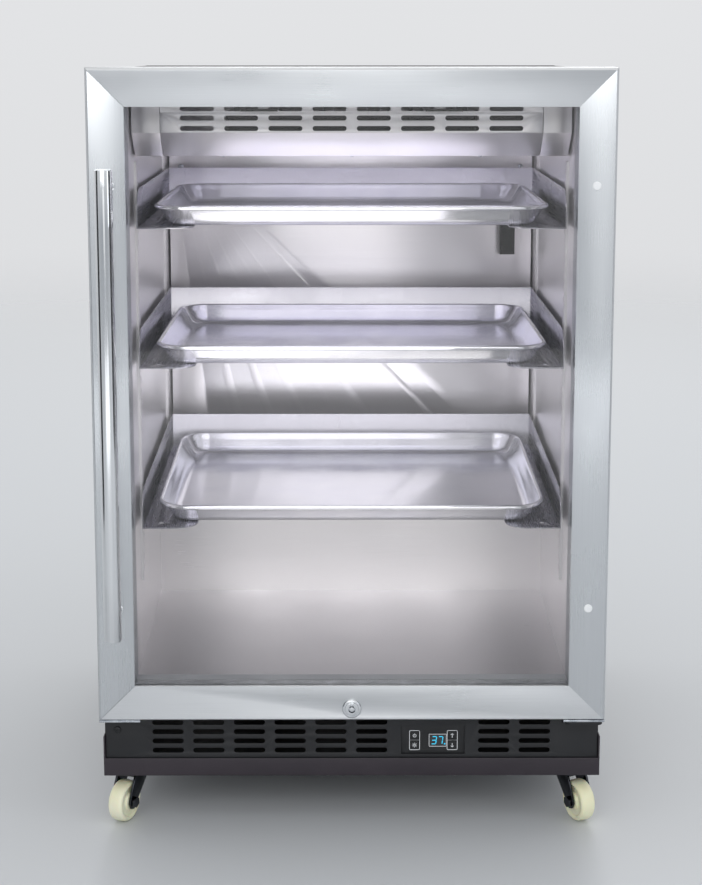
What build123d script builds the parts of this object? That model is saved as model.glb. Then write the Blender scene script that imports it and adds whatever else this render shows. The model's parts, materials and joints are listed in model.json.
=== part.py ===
from build123d import *

import math
import os

# Undercounter proofing cabinet with a glass door, on swivel casters.
# Millimetres. X runs across the front, Y from front to back, Z up.
# The origin is on the floor, midway between the sides and midway from handle to back.

# ---- driving dimensions: overall ------------------------------------------------
WIDTH = 600.0
BODY_DEPTH = 597.0  # door front plane to the back
HANDLE_REACH = 57.0  # handle in front of the door's face
CASTER_HEIGHT = 66.0
BASE_HEIGHT = 83.0  # bottom tray to the underside of the door
DOOR_HEIGHT = 768.0
DOOR_OVER_BODY = 5.0  # door top above the body's top
DOOR_THICK = 40.0
GASKET_THICK = 7.6
GASKET_GAP = 0.4  # between the gasket and the body's front
SHEET = 1.0  # case, liner and covers

# ---- cavity ---------------------------------------------------------------------
WALL = 40.0  # insulated side wall, case to liner face
CEILING_WALL = 40.0
BACK_WALL = 69.0
FLOOR_FRONT_RISE = 31.0  # cavity floor above the door's underside
FLOOR_SLOPE_RISE = 21.0  # the floor climbs this much to the step
STEP_FRONT_DEPTH = BODY_DEPTH - 266.0  # door front to the step over the machinery
STEP_TOP_RISE = 139.0
STEP_WALL = 40.0
DUCT_DEPTH = 35.0  # behind the rear duct cover

# ---- plenum cover under the ceiling ------------------------------------------------
PLENUM_FRONT_DEPTH = 78.0
PLENUM_FACE_HEIGHT = 32.0
PLENUM_SLOPE_RUN = 32.0
PLENUM_SLOPE_DROP = 29.0
PLENUM_MIDDLE_HALF = WIDTH / 2 - 76.0
VENT_COLUMNS = 8
VENT_PITCH = 51.7
VENT_LENGTH = 39.7
VENT_WIDTH = 5.8
VENT_ROW_PITCH = 12.2
VENT_TOP_DROP = 4.0  # top slot row below the ceiling
VENT_LOW_DROP = 14.7  # next slot row below the ceiling
CREASE_DROP = 8.1  # shallow groove across the face, below the ceiling
CREASE_HALF = 0.5

# ---- door -----------------------------------------------------------------------
FRAME_FACE = 44.0
FRAME_EDGE = 5.0  # width of the bevelled band round the front
FRAME_BEVEL = 3.0  # depth of that band
GLASS_THICK = 4.0
GLASS_GAP = 12.0
GLASS_LAP = 7.0  # glass held behind the frame
HANDLE_X = 26.0 - WIDTH / 2
HANDLE_RADIUS = 10.0
HANDLE_LENGTH = 540.0
HANDLE_BOTTOM = 117.0  # above the door's underside
HANDLE_POST_INSET = 22.0
HANDLE_POST_RADIUS = 5.0
PLUG_X = WIDTH / 2 - 23.0
HINGE_X = WIDTH / 2 - 12.0
HINGE_DEPTH = 20.0
HINGE_PIN_RADIUS = 4.0
HINGE_ARM_HALF = 6.0
LOCK_RISE = 16.0  # lock centre above the door's underside
LOCK_RADIUS = 8.0
CAM_LENGTH = 24.0

# ---- kick panel and controls --------------------------------------------------------
BAND_HEIGHT = 22.0
BAND_DEPTH = 34.0
BAND_EAR = 28.0  # the band's side returns rise this much past it
KICK_DEPTH = 36.0
KICK_SHEET = 2.0
LOUVRE_LENGTH = 37.8
LOUVRE_WIDTH = 6.3
LOUVRE_PITCH = 49.2
LOUVRE_ROW_PITCH = 11.75
LOUVRE_FIRST_X = -222.0
LOUVRE_COLUMNS = 10
CONTROL_X = 98.2
CONTROL_WIDTH = 77.0
CONTROL_HEIGHT = 35.4
CONTROL_RISE = 44.4  # window centre above the bottom tray
BUTTON_SIZE = 10.0
BUTTON_ROWS = (5.0, -7.1)
POWER_X = 76.0
ARROW_X = 121.6

# ---- racks and pans ---------------------------------------------------------------
SLOT_PITCH = 14.0
SLOT_HEIGHT = 8.0
SLOT_DEPTH = 5.0
SLOT_COUNT = 36
FIRST_SLOT_Z = 300.0
PILASTER_THICK = 3.0
PILASTER_FRONT = 120.5
RACK_FRONT = 80.0
RACK_REAR_GAP = 48.0  # behind a rack, before the duct
RACK_DEPTH = BODY_DEPTH - BACK_WALL - DUCT_DEPTH - RACK_FRONT - RACK_REAR_GAP
PILASTER_REAR = RACK_FRONT + RACK_DEPTH - 12.0
RACK_SHEET = 1.2
RACK_WALL = 45.0
RACK_SIDE_GAP = 6.0
LEDGE_WIDTH = 66.0
TAB_ABOVE_LEDGE = 20.0
RACK_SLOTS = {"top": (32, 0), "middle": (20, 0), "bottom": (6, 1)}
PAN_SIDE_GAP = 22.5  # between a pan's rim and the liner wall
PAN_RIM_WIDTH = WIDTH - 2 * (WALL + PAN_SIDE_GAP)
PAN_RIM_DEPTH = RACK_DEPTH - 29.0
PAN_HEIGHT = 25.0
PAN_FLARE = 18.0
PAN_SHEET = 1.1
PAN_FRONT = 86.0

# ---- casters ---------------------------------------------------------------------
WHEEL_RADIUS = 25.0
WHEEL_WIDTH = 20.0
AXLE_RADIUS = 4.0
CASTER_TRAIL = 22.0
CASTER_X = WIDTH / 2 - 30.0
CASTER_FRONT_DEPTH = 76.0
CASTER_REAR_DEPTH = BODY_DEPTH - 67.0
CASTER_SPLAY = 24.0  # degrees each front fork is turned outwards at rest

PLATE_SIZE = 44.0
PLATE_THICK = 2.5
CUP_HEIGHT = 3.0
RACE_HEIGHT = 4.0
LEG_GAP = 1.2  # between a wheel's face and its fork leg
LEG_THICK = 2.5
NUT_THICK = 4.0

# ---- air, heat and cold ------------------------------------------------------------
LIGHT_X = 108.0
LIGHT_HALF = 21.5
BLOWER_DEPTH = 150.0
BLOWER_RADIUS = 20.0
BLOWER_HALF = 150.0
BLOWER_BLADES = 14
EVAPORATOR_FINS = 22
EVAPORATOR_PITCH = 14.0
EVAPORATOR_DEPTHS = (230.0, 330.0)
HEATER_HALF = 200.0
HEATER_RISE = 60.0  # lower run above the step
HEATER_SPAN = 40.0
HEATER_RADIUS = 4.0
SENSOR_X = (212.0, 233.0)
SENSOR_HEIGHT = 42.0
SENSOR_THICK = 12.0
SENSOR_DROP = 164.0  # its foot below the plenum
FAN_X = 130.0
FAN_DEPTH = BODY_DEPTH - 97.0
FAN_RADIUS = 62.0
FAN_BLADES = 5
SHAFT_RADIUS = 3.0  # blower and fan
COMPRESSOR_X = -120.0
COMPRESSOR_DEPTH = BODY_DEPTH - 117.0
COMPRESSOR_RADIUS = 66.0
COMPRESSOR_HEIGHT = 154.0
COMPRESSOR_FOOT_RISE = 8.0
CONDENSER_X = (52.0, 210.0)
CONDENSER_DEPTHS = (BODY_DEPTH - 199.0, BODY_DEPTH - 125.0)
CONDENSER_HEIGHT = 144.0
CONDENSER_FINS = 16
CONDENSER_PITCH = 9.0
COVER_LOUVRE_X = (-190.0, -70.0, 150.0)
COVER_LOUVRE_LENGTH = 90.0
COVER_LOUVRE_WIDTH = 7.0
COVER_LOUVRE_PITCH = 16.0
COVER_LOUVRE_ROWS = 9
INLET_X = (225.0, 259.0)
INLET_RISE = 50.0  # above the bottom of the case
INLET_HEIGHT = 26.0

# ---- small fittings ------------------------------------------------------------------
STRIP_HEIGHT = 2.5  # bearing strip under the door
STRIP_LENGTH = 49.0
HINGE_REACH = 33.0  # bracket, from the hinge axis inwards
STRIKE_X = (-15.0, 45.0)
STRIKE_SLOT_X = (-9.0, 22.0)
STRIKE_SLOT_DEPTHS = (28.5, 34.5)
LOCK_COLLAR_RADIUS = 11.35
CAM_HALF = 6.0
CAM_DEPTHS = (29.0, 32.0)
DISPLAY_X = (-5.4, 17.0)  # from the middle of the control window
DISPLAY_Z = (-9.5, 7.5)

# ---- named clearances ----------------------------------------------------------
FREE_GAP = 0.5  # between pieces that move past each other
RUN_GAP = 0.05  # radial, shaft in hole
SEAT_GAP = 0.3  # a pan over its ledge

# ---- places worked out from the driving dimensions ------------------------------------
HALF = WIDTH / 2
FRONT = (HANDLE_REACH - BODY_DEPTH) / 2  # Y of the door's front plane
BACK = FRONT + BODY_DEPTH
DOOR_BOTTOM = CASTER_HEIGHT + BASE_HEIGHT
DOOR_TOP = DOOR_BOTTOM + DOOR_HEIGHT
BODY_TOP = DOOR_TOP - DOOR_OVER_BODY
COLLAR_DEPTH = DOOR_THICK + GASKET_THICK + GASKET_GAP
COLLAR_THICK = 2.0
SHELL_DEPTH = COLLAR_DEPTH + COLLAR_THICK  # where insulation, liner and case start
CASE_BACK = BODY_DEPTH - 2.0
CAVITY_HALF = HALF - WALL
CEILING = BODY_TOP - CEILING_WALL
FLOOR_FRONT = DOOR_BOTTOM + FLOOR_FRONT_RISE
FLOOR_BACK = FLOOR_FRONT + FLOOR_SLOPE_RISE
STEP_TOP = FLOOR_BACK + STEP_TOP_RISE
LINER_BACK = BODY_DEPTH - BACK_WALL
MACHINE_TOP = STEP_TOP - STEP_WALL
MACHINE_FRONT = STEP_FRONT_DEPTH + STEP_WALL
DUCT_FACE = LINER_BACK - DUCT_DEPTH
PLENUM_BOTTOM = CEILING - PLENUM_FACE_HEIGHT - PLENUM_SLOPE_DROP
PLENUM_SLOPE_BACK = PLENUM_FRONT_DEPTH + PLENUM_SLOPE_RUN
TRAY_TOP = CASTER_HEIGHT + 2.0
KICK_TOP = DOOR_BOTTOM - 3.0
BAND_TOP = CASTER_HEIGHT + BAND_HEIGHT
LOCK_Z = DOOR_BOTTOM + LOCK_RISE
CONTROL_Z = CASTER_HEIGHT + CONTROL_RISE
RACK_HALF = CAVITY_HALF - RACK_SIDE_GAP
HANDLE_Z0 = DOOR_BOTTOM + HANDLE_BOTTOM
HANDLE_Z1 = HANDLE_Z0 + HANDLE_LENGTH
HANDLE_POSTS_Z = (HANDLE_Z0 + HANDLE_POST_INSET, HANDLE_Z1 - HANDLE_POST_INSET)
HANDLE_AXIS_DEPTH = HANDLE_RADIUS - HANDLE_REACH
BUTTON_FRONT = KICK_DEPTH + 1.4
BUTTON_BACK = KICK_DEPTH + 4.0
CONTROL_FACE = KICK_DEPTH + 2.0
FORK_TOP = CASTER_HEIGHT - PLATE_THICK - CUP_HEIGHT - FREE_GAP - RACE_HEIGHT


# ---- small makers ---------------------------------------------------------------
def block(x_range, depth_range, z_range):
    """Box between two X values, two depths behind the door's face and two heights."""
    x0, x1 = x_range
    d0, d1 = depth_range
    z0, z1 = z_range
    place = Pos((x0 + x1) / 2, FRONT + (d0 + d1) / 2, (z0 + z1) / 2)
    return place * Box(x1 - x0, d1 - d0, z1 - z0)


def rod_y(x, z, radius, depth_range):
    """Cylinder along Y between two depths."""
    d0, d1 = depth_range
    place = Pos(x, FRONT + (d0 + d1) / 2, z) * Rot(90, 0, 0)
    return place * Cylinder(radius, d1 - d0)


def rod_x(depth, z, radius, x_range):
    """Cylinder along X between two X values."""
    x0, x1 = x_range
    place = Pos((x0 + x1) / 2, FRONT + depth, z) * Rot(0, 90, 0)
    return place * Cylinder(radius, x1 - x0)


def rod_z(x, depth, radius, z_range):
    """Cylinder along Z between two heights."""
    z0, z1 = z_range
    return Pos(x, FRONT + depth, (z0 + z1) / 2) * Cylinder(radius, z1 - z0)


def side_profile(points, x_range):
    """Extrude a closed outline of (depth, z) points along X."""
    x0, x1 = x_range
    face = make_face(Polyline([(0, FRONT + d, z) for d, z in points], close=True))
    return Pos(x0, 0, 0) * extrude(face, x1 - x0, dir=(1, 0, 0))


def front_profile(points, depth_range):
    """Extrude a closed outline of (x, z) points from one depth to another."""
    d0, d1 = depth_range
    face = make_face(Polyline([(x, FRONT + d0, z) for x, z in points], close=True))
    return extrude(face, d1 - d0, dir=(0, 1, 0))


def front_slots(centres, length, width, depth_range):
    """Round-ended slots, long way across, cut through a front-facing sheet."""
    d0, d1 = depth_range
    plane = Plane(origin=(0, FRONT + d0, 0), x_dir=(1, 0, 0), z_dir=(0, -1, 0))
    slots = Sketch() + [Pos(x, z) * SlotOverall(length, width) for x, z in centres]
    return extrude(plane * slots, -(d1 - d0))


def ring(half_x, z_range, inner_half_x, inner_z_range, depth_range):
    """Rectangular frame with a rectangular hole."""
    d0, d1 = depth_range
    outer = block((-half_x, half_x), depth_range, z_range)
    return outer - block((-inner_half_x, inner_half_x), (d0 - 1, d1 + 1), inner_z_range)


def fuse(pieces):
    """Join touching pieces into one solid."""
    whole = pieces[0]
    for piece in pieces[1:]:
        whole = whole + piece
    return whole


def group(pieces):
    """Keep separate pieces together in one sub-part."""
    return Compound(children=[solid for piece in pieces for solid in piece.solids()])


# ---- cabinet shell -----------------------------------------------------------------
def outer_case():
    """Two side sheets, a top sheet and a back sheet."""
    sides = [
        block((s * HALF, s * (HALF - SHEET)) if s < 0 else (HALF - SHEET, HALF),
              (SHELL_DEPTH, CASE_BACK), (CASTER_HEIGHT, BODY_TOP))
        for s in (-1, 1)
    ]
    inner = HALF - SHEET
    top = block((-inner, inner), (SHELL_DEPTH, CASE_BACK), (BODY_TOP - SHEET, BODY_TOP))
    back = block((-inner, inner), (CASE_BACK - SHEET, CASE_BACK), (MACHINE_TOP, BODY_TOP - SHEET))
    return group(sides + [top, back])


def cavity_outline(grow):
    """Side outline of the cavity, moved outwards by grow; open at the front."""
    return [
        (SHELL_DEPTH, FLOOR_FRONT - grow),
        (STEP_FRONT_DEPTH + grow, FLOOR_BACK - grow),
        (STEP_FRONT_DEPTH + grow, STEP_TOP - grow),
        (LINER_BACK + grow, STEP_TOP - grow),
        (LINER_BACK + grow, CEILING + grow),
        (SHELL_DEPTH, CEILING + grow),
    ]


def liner():
    """Thin stainless skin of the cavity, stepped over the machinery."""
    outer_half = CAVITY_HALF + SHEET
    outer = side_profile(cavity_outline(SHEET), (-outer_half, outer_half))
    return outer - side_profile(cavity_outline(0), (-CAVITY_HALF, CAVITY_HALF))


def insulation():
    """Foam between case and liner, as slabs that meet face to face."""
    far = HALF - SHEET
    near = CAVITY_HALF + SHEET
    foam_top = BODY_TOP - SHEET
    foam_back = CASE_BACK - SHEET
    side = [
        (SHELL_DEPTH, DOOR_BOTTOM),
        (MACHINE_FRONT, DOOR_BOTTOM),
        (MACHINE_FRONT, MACHINE_TOP),
        (foam_back, MACHINE_TOP),
        (foam_back, foam_top),
        (SHELL_DEPTH, foam_top),
    ]
    floor = [
        (SHELL_DEPTH, DOOR_BOTTOM),
        (STEP_FRONT_DEPTH + SHEET, DOOR_BOTTOM),
        (STEP_FRONT_DEPTH + SHEET, FLOOR_BACK - SHEET),
        (SHELL_DEPTH, FLOOR_FRONT - SHEET),
    ]
    across = (-near, near)
    step_top = (MACHINE_TOP, STEP_TOP - SHEET)
    pieces = [
        side_profile(side, (-far, -near)),
        side_profile(side, (near, far)),
        side_profile(floor, across),
        block(across, (STEP_FRONT_DEPTH + SHEET, MACHINE_FRONT), (DOOR_BOTTOM, step_top[1])),
        block(across, (MACHINE_FRONT, foam_back), step_top),
        block(across, (LINER_BACK + SHEET, foam_back), (step_top[1], foam_top)),
        block(across, (SHELL_DEPTH, LINER_BACK + SHEET), (CEILING + SHEET, foam_top)),
    ]
    return group(pieces)


def front_collar():
    """Frame round the mouth of the cavity, where the gasket seals."""
    return ring(HALF, (DOOR_BOTTOM, BODY_TOP), CAVITY_HALF, (FLOOR_FRONT, CEILING),
                (COLLAR_DEPTH, SHELL_DEPTH))


def duct_cover():
    """Folded sheet in front of the rear air duct, with return slots at its foot."""
    half = CAVITY_HALF - 3.0
    low = STEP_TOP + 2.0
    high = PLENUM_BOTTOM - FREE_GAP
    face = block((-half, half), (DUCT_FACE, DUCT_FACE + SHEET), (low, high))
    flanges = [
        block((s * half - SHEET / 2, s * half + SHEET / 2), (DUCT_FACE, LINER_BACK), (low, high))
        for s in (-1, 1)
    ]
    places = [((i - (VENT_COLUMNS - 1) / 2) * VENT_PITCH, low + 14 + j * VENT_ROW_PITCH)
              for i in range(VENT_COLUMNS) for j in range(2)]
    cuts = front_slots(places, VENT_LENGTH, VENT_WIDTH, (DUCT_FACE - 1, DUCT_FACE + 2))
    return fuse([face] + flanges) - cuts


def plenum_outline():
    """Side outline of the folded plenum cover, one sheet thick."""
    face_top = CEILING - FREE_GAP
    face_low = CEILING - PLENUM_FACE_HEIGHT
    rear = DUCT_FACE - FREE_GAP
    return [
        (PLENUM_FRONT_DEPTH, face_top),
        (PLENUM_FRONT_DEPTH, face_low),
        (PLENUM_SLOPE_BACK, PLENUM_BOTTOM),
        (rear, PLENUM_BOTTOM),
        (rear, PLENUM_BOTTOM + SHEET),
        (PLENUM_SLOPE_BACK + SHEET / 2, PLENUM_BOTTOM + SHEET),
        (PLENUM_FRONT_DEPTH + SHEET, face_low + SHEET / 2),
        (PLENUM_FRONT_DEPTH + SHEET, face_top),
    ]


def plenum_cover():
    """Slotted cover under the ceiling: a middle section and two end sections."""
    seam = PLENUM_MIDDLE_HALF
    end = CAVITY_HALF - 2.4
    middle = side_profile(plenum_outline(), (-seam, seam))
    rows = [CEILING - VENT_TOP_DROP, CEILING - VENT_LOW_DROP,
            CEILING - VENT_LOW_DROP - VENT_ROW_PITCH]
    places = [((i - (VENT_COLUMNS - 1) / 2) * VENT_PITCH, z)
              for i in range(VENT_COLUMNS) for z in rows]
    middle -= front_slots(places, VENT_LENGTH, VENT_WIDTH,
                          (PLENUM_FRONT_DEPTH - 1, PLENUM_FRONT_DEPTH + 2))
    crease_z = CEILING - CREASE_DROP
    middle -= block((-seam - 1, seam + 1), (PLENUM_FRONT_DEPTH - 1, PLENUM_FRONT_DEPTH + SHEET / 2),
                    (crease_z - CREASE_HALF, crease_z + CREASE_HALF))
    ends = [
        side_profile(plenum_outline(), (-end, -seam - FREE_GAP)),
        side_profile(plenum_outline(), (seam + FREE_GAP, end)),
    ]
    return group([middle] + ends)


def light_modules():
    """Two small light bars clipped to the plenum's face."""
    high = CEILING - VENT_TOP_DROP
    return group([
        block((s * LIGHT_X - LIGHT_HALF, s * LIGHT_X + LIGHT_HALF),
              (PLENUM_FRONT_DEPTH - 6, PLENUM_FRONT_DEPTH), (high - 3, high))
        for s in (-1, 1)
    ])


def evaporator_coil():
    """Finned coil in the plenum."""
    z0 = PLENUM_BOTTOM + 8
    z1 = CEILING - 6
    near, far = EVAPORATOR_DEPTHS
    first = -(EVAPORATOR_FINS - 1) / 2 * EVAPORATOR_PITCH
    plates = [block((x - 0.4, x + 0.4), EVAPORATOR_DEPTHS, (z0, z1))
              for x in (first + i * EVAPORATOR_PITCH for i in range(EVAPORATOR_FINS))]
    reach = -first + 12
    tubes = [rod_x(d, z, 4.5, (-reach, reach))
             for d in (near + 20, (near + far) / 2, far - 20) for z in (z0 + 14, z1 - 14)]
    return fuse(tubes + plates)


def blower_height():
    """Height of the blower's axis, midway inside the plenum."""
    return (PLENUM_BOTTOM + CEILING) / 2


def circulation_rotor():
    """Cross-flow blower wheel: discs, a ring of blades and a shaft."""
    z = blower_height()
    pieces = [rod_x(BLOWER_DEPTH, z, SHAFT_RADIUS, (-BLOWER_HALF - 8, BLOWER_HALF + 18))]
    for x in (-BLOWER_HALF, 0, BLOWER_HALF):
        pieces.append(rod_x(BLOWER_DEPTH, z, BLOWER_RADIUS, (x - 1, x + 1)))
    for i in range(BLOWER_BLADES):
        turn = Pos(0, FRONT + BLOWER_DEPTH, z) * Rot(360 / BLOWER_BLADES * i, 0, 0)
        pieces.append(turn * Pos(0, 0, BLOWER_RADIUS - 4) * Rot(35, 0, 0)
                      * Box(2 * BLOWER_HALF, 1.0, 6.0))
    return fuse(pieces)


def fan_height():
    """Height of the condenser fan's axis above the tray."""
    return TRAY_TOP + FAN_RADIUS + 12


def condenser_fan():
    """Bladed fan behind the condenser."""
    z = fan_height()
    hub_radius = 14
    pieces = [rod_y(FAN_X, z, hub_radius, (FAN_DEPTH, FAN_DEPTH + 12)),
              rod_y(FAN_X, z, SHAFT_RADIUS, (FAN_DEPTH + 11, FAN_DEPTH + 30))]
    root = hub_radius - 2
    for i in range(FAN_BLADES):
        turn = Pos(FAN_X, FRONT + FAN_DEPTH + 6, z) * Rot(0, 360 / FAN_BLADES * i, 0)
        pieces.append(turn * Pos(0, 0, (FAN_RADIUS + root) / 2) * Rot(0, 0, 25)
                      * Box(26, 1.6, FAN_RADIUS - root))
    return fuse(pieces)


def fan_motors():
    """Blower motor with its far bearing block, and the condenser fan's motor on a foot."""
    z = blower_height()
    hole = SHAFT_RADIUS + RUN_GAP
    half = 22.0
    plenum_floor = PLENUM_BOTTOM + SHEET
    motor = block((BLOWER_HALF + 6, BLOWER_HALF + 56), (BLOWER_DEPTH - half, BLOWER_DEPTH + half),
                  (z - 20, z + 20))
    bearing = block((-BLOWER_HALF - 14, -BLOWER_HALF - 4), (BLOWER_DEPTH - 10, BLOWER_DEPTH + 10),
                    (plenum_floor, z + 12))
    foot = block((BLOWER_HALF + 10, BLOWER_HALF + 50), (BLOWER_DEPTH - 18, BLOWER_DEPTH + 18),
                 (plenum_floor, z - 20))
    bore = rod_x(BLOWER_DEPTH, z, hole, (-BLOWER_HALF - 20, BLOWER_HALF + 20))
    fan_z = fan_height()
    can = rod_y(FAN_X, fan_z, 24, (FAN_DEPTH + 16, FAN_DEPTH + 56))
    leg = block((FAN_X - 12, FAN_X + 12), (FAN_DEPTH + 28, FAN_DEPTH + 48),
                (TRAY_TOP, fan_z - 20))
    fan_bore = rod_y(FAN_X, fan_z, hole, (FAN_DEPTH + 10, FAN_DEPTH + 31))
    return group([fuse([motor, foot]) - bore, bearing - bore, fuse([can, leg]) - fan_bore])


def heater_rod():
    """Sheathed heater bent in a U, low in the rear duct."""
    low = STEP_TOP + HEATER_RISE
    high = low + HEATER_SPAN
    middle = DUCT_FACE + DUCT_DEPTH / 2
    y = FRONT + middle
    path = FilletPolyline([(-HEATER_HALF, y, high), (HEATER_HALF, y, high), (HEATER_HALF, y, low),
                           (-HEATER_HALF, y, low)], radius=18)
    rod = sweep(Plane(origin=path @ 0, z_dir=path % 0) * Circle(HEATER_RADIUS), path=path)
    ends = [rod_x(middle, z, HEATER_RADIUS + 3, (-HEATER_HALF - 16, -HEATER_HALF)) for z in (low, high)]
    clips = [block((x - 6, x + 6), (middle + HEATER_RADIUS / 2, middle + DUCT_DEPTH / 2),
                   (low - HEATER_RADIUS, high + HEATER_RADIUS))
             for x in (-120, 120)]
    return fuse([rod] + ends + clips)


def sensor_cover():
    """Perforated cover of the air sensor on the rear duct cover."""
    z0 = PLENUM_BOTTOM - SENSOR_DROP
    left, _ = SENSOR_X
    face = DUCT_FACE - SENSOR_THICK
    shell = block(SENSOR_X, (face, DUCT_FACE), (z0, z0 + SENSOR_HEIGHT))
    holes = [rod_y(left + 3.75 + 4.5 * i, z0 + 4 + 4.25 * j, 1.3, (face - 1, face + 3))
             for i in range(4) for j in range(9)]
    return shell - (Part() + holes)


# ---- racks and pans ------------------------------------------------------------------
def pilasters():
    """Four slotted strips on the side walls."""
    high = FIRST_SLOT_Z + SLOT_COUNT * SLOT_PITCH
    lows = {PILASTER_FRONT: FIRST_SLOT_Z - SLOT_PITCH, PILASTER_REAR: STEP_TOP + 4.0}
    heights = [FIRST_SLOT_Z + SLOT_PITCH * k for k in range(SLOT_COUNT)]
    strips = []
    for side in (-1, 1):
        wall = side * CAVITY_HALF
        face = wall - side * PILASTER_THICK
        for depth, low in lows.items():
            strip = block((min(wall, face), max(wall, face)), (depth - 6.5, depth + 6.5), (low, high))
            slots = [block((min(wall, face) - 1, max(wall, face) + 1),
                           (depth - SLOT_DEPTH / 2, depth + SLOT_DEPTH / 2),
                           (z - SLOT_HEIGHT / 2, z + SLOT_HEIGHT / 2))
                     for z in heights if z - SLOT_HEIGHT > low]
            strips.append(strip - (Part() + slots))
    return group(strips)


def ledge_height(slot):
    """Top of the ledge of a rack whose tabs are in the given slot."""
    return FIRST_SLOT_Z + SLOT_PITCH * slot - TAB_ABOVE_LEDGE


def rack_tilt(rear_slots_up):
    """Degrees that a rack leans when its rear tabs sit some slots higher."""
    return math.degrees(math.asin(rear_slots_up * SLOT_PITCH / (PILASTER_REAR - PILASTER_FRONT)))


def lean(piece, slot, rear_slots_up):
    """Turn a piece about the front tab of its rack."""
    y = FRONT + PILASTER_FRONT
    z = FIRST_SLOT_Z + SLOT_PITCH * slot
    turn = Pos(0, y, z) * Rot(rack_tilt(rear_slots_up), 0, 0) * Pos(0, -y, -z)
    return turn * piece


def rack(slot, rear_slots_up):
    """Formed sheet rack: two ledges, side walls, a back wall and four hooked tabs."""
    z = ledge_height(slot)
    rear = RACK_FRONT + RACK_DEPTH
    sheet = RACK_SHEET
    floor = block((-RACK_HALF, RACK_HALF), (RACK_FRONT, rear), (z - sheet, z))
    inner = RACK_HALF - LEDGE_WIDTH
    mouth = block((-inner, inner), (RACK_FRONT - 40, rear - 24), (z - 5, z + 5))
    mouth = fillet(mouth.edges().filter_by(Axis.Z).group_by(Axis.Y)[-1], 18)
    floor -= mouth
    corners = floor.edges().filter_by(Axis.Z).group_by(Axis.Y)[0]
    inner_corners = [e for e in corners if abs(e.center().X) < inner + 1]
    floor = fillet(inner_corners, 24)
    walls = []
    for side in (-1, 1):
        x0, x1 = sorted((side * RACK_HALF, side * (RACK_HALF - sheet)))
        wall = block((x0, x1), (RACK_FRONT, rear), (z - sheet, z + RACK_WALL))
        top_front = wall.edges().filter_by(Axis.X).group_by(Axis.Z)[-1].group_by(Axis.Y)[0]
        walls.append(fillet(top_front, 26))
        tab_x = sorted((side * RACK_HALF, side * (CAVITY_HALF - 1.0)))
        for depth in (PILASTER_FRONT, PILASTER_REAR):
            tab_z = z + TAB_ABOVE_LEDGE
            walls.append(block(tab_x, (depth - 1.5, depth + 1.5), (tab_z - 2.5, tab_z + 2.5)))
    walls.append(block((-RACK_HALF, RACK_HALF), (rear - sheet, rear), (z - sheet, z + RACK_WALL)))
    studs = [rod_z(s * (RACK_HALF - 21), RACK_FRONT + 20, 3.0, (z - 2, z + 1)) for s in (-1, 1)]
    whole = fuse([floor] + walls)
    whole -= fuse(studs)
    return lean(whole, slot, rear_slots_up)


def pan(slot, rear_slots_up):
    """Half-size sheet pan: flat base, flared walls with round corners and a rolled rim."""
    z = ledge_height(slot) + SEAT_GAP
    y = FRONT + PAN_FRONT + PAN_RIM_DEPTH / 2
    roll = 3.0
    top_w = PAN_RIM_WIDTH - 2 * roll
    top_d = PAN_RIM_DEPTH - 2 * roll
    base_w = top_w - 2 * (PAN_FLARE - roll)
    base_d = top_d - 2 * (PAN_FLARE - roll)
    base_corner = 22.0
    top_corner = 36.0
    foot = Pos(0, y, z)
    outer = loft([foot * RectangleRounded(base_w, base_d, base_corner),
                  foot * Pos(0, 0, PAN_HEIGHT - 1) * RectangleRounded(top_w, top_d, top_corner)])
    t = PAN_SHEET
    inner = loft([foot * Pos(0, 0, t) * RectangleRounded(base_w - 2 * t, base_d - 2 * t,
                                                         base_corner - t),
                  foot * Pos(0, 0, PAN_HEIGHT) * RectangleRounded(top_w - 2 * t, top_d - 2 * t,
                                                                  top_corner - t)])
    rim_outer = RectangleRounded(PAN_RIM_WIDTH, PAN_RIM_DEPTH, top_corner + roll)
    rim_inner = RectangleRounded(top_w - 2 * t, top_d - 2 * t, top_corner - t)
    rim = extrude(foot * Pos(0, 0, PAN_HEIGHT - 5) * (rim_outer - rim_inner), 5)
    outside = [e for e in rim.edges() if e.length > 10 and
               (abs(abs(e.center().X) - PAN_RIM_WIDTH / 2) < 0.1
                or abs(abs(e.center().Y - y) - PAN_RIM_DEPTH / 2) < 0.1)
               and (e.center().Z > z + PAN_HEIGHT - 0.1 or e.center().Z < z + PAN_HEIGHT - 4.9)]
    rim = fillet(outside, 2.2)
    whole = (outer + rim) - inner
    return lean(whole, slot, rear_slots_up)


# ---- door ------------------------------------------------------------------------------
def door_frame():
    """Whole door frame before it is parted at the mitres."""
    outline = [(-HALF, DOOR_BOTTOM), (HALF, DOOR_BOTTOM), (HALF, DOOR_TOP), (-HALF, DOOR_TOP)]
    frame = front_profile(outline, (0, DOOR_THICK))
    front_edges = frame.faces().sort_by(Axis.Y)[0].edges()
    frame = chamfer(front_edges, FRAME_BEVEL, FRAME_EDGE, reference=frame.faces().sort_by(Axis.Y)[0])
    inner_half = HALF - FRAME_FACE
    inner_z = (DOOR_BOTTOM + FRAME_FACE, DOOR_TOP - FRAME_FACE)
    frame -= block((-inner_half, inner_half), (-1, DOOR_THICK + 1), inner_z)
    lap_z = (inner_z[0] - GLASS_LAP, inner_z[1] + GLASS_LAP)
    frame -= block((-inner_half - GLASS_LAP, inner_half + GLASS_LAP), (4, DOOR_THICK + 1), lap_z)
    return frame


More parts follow.
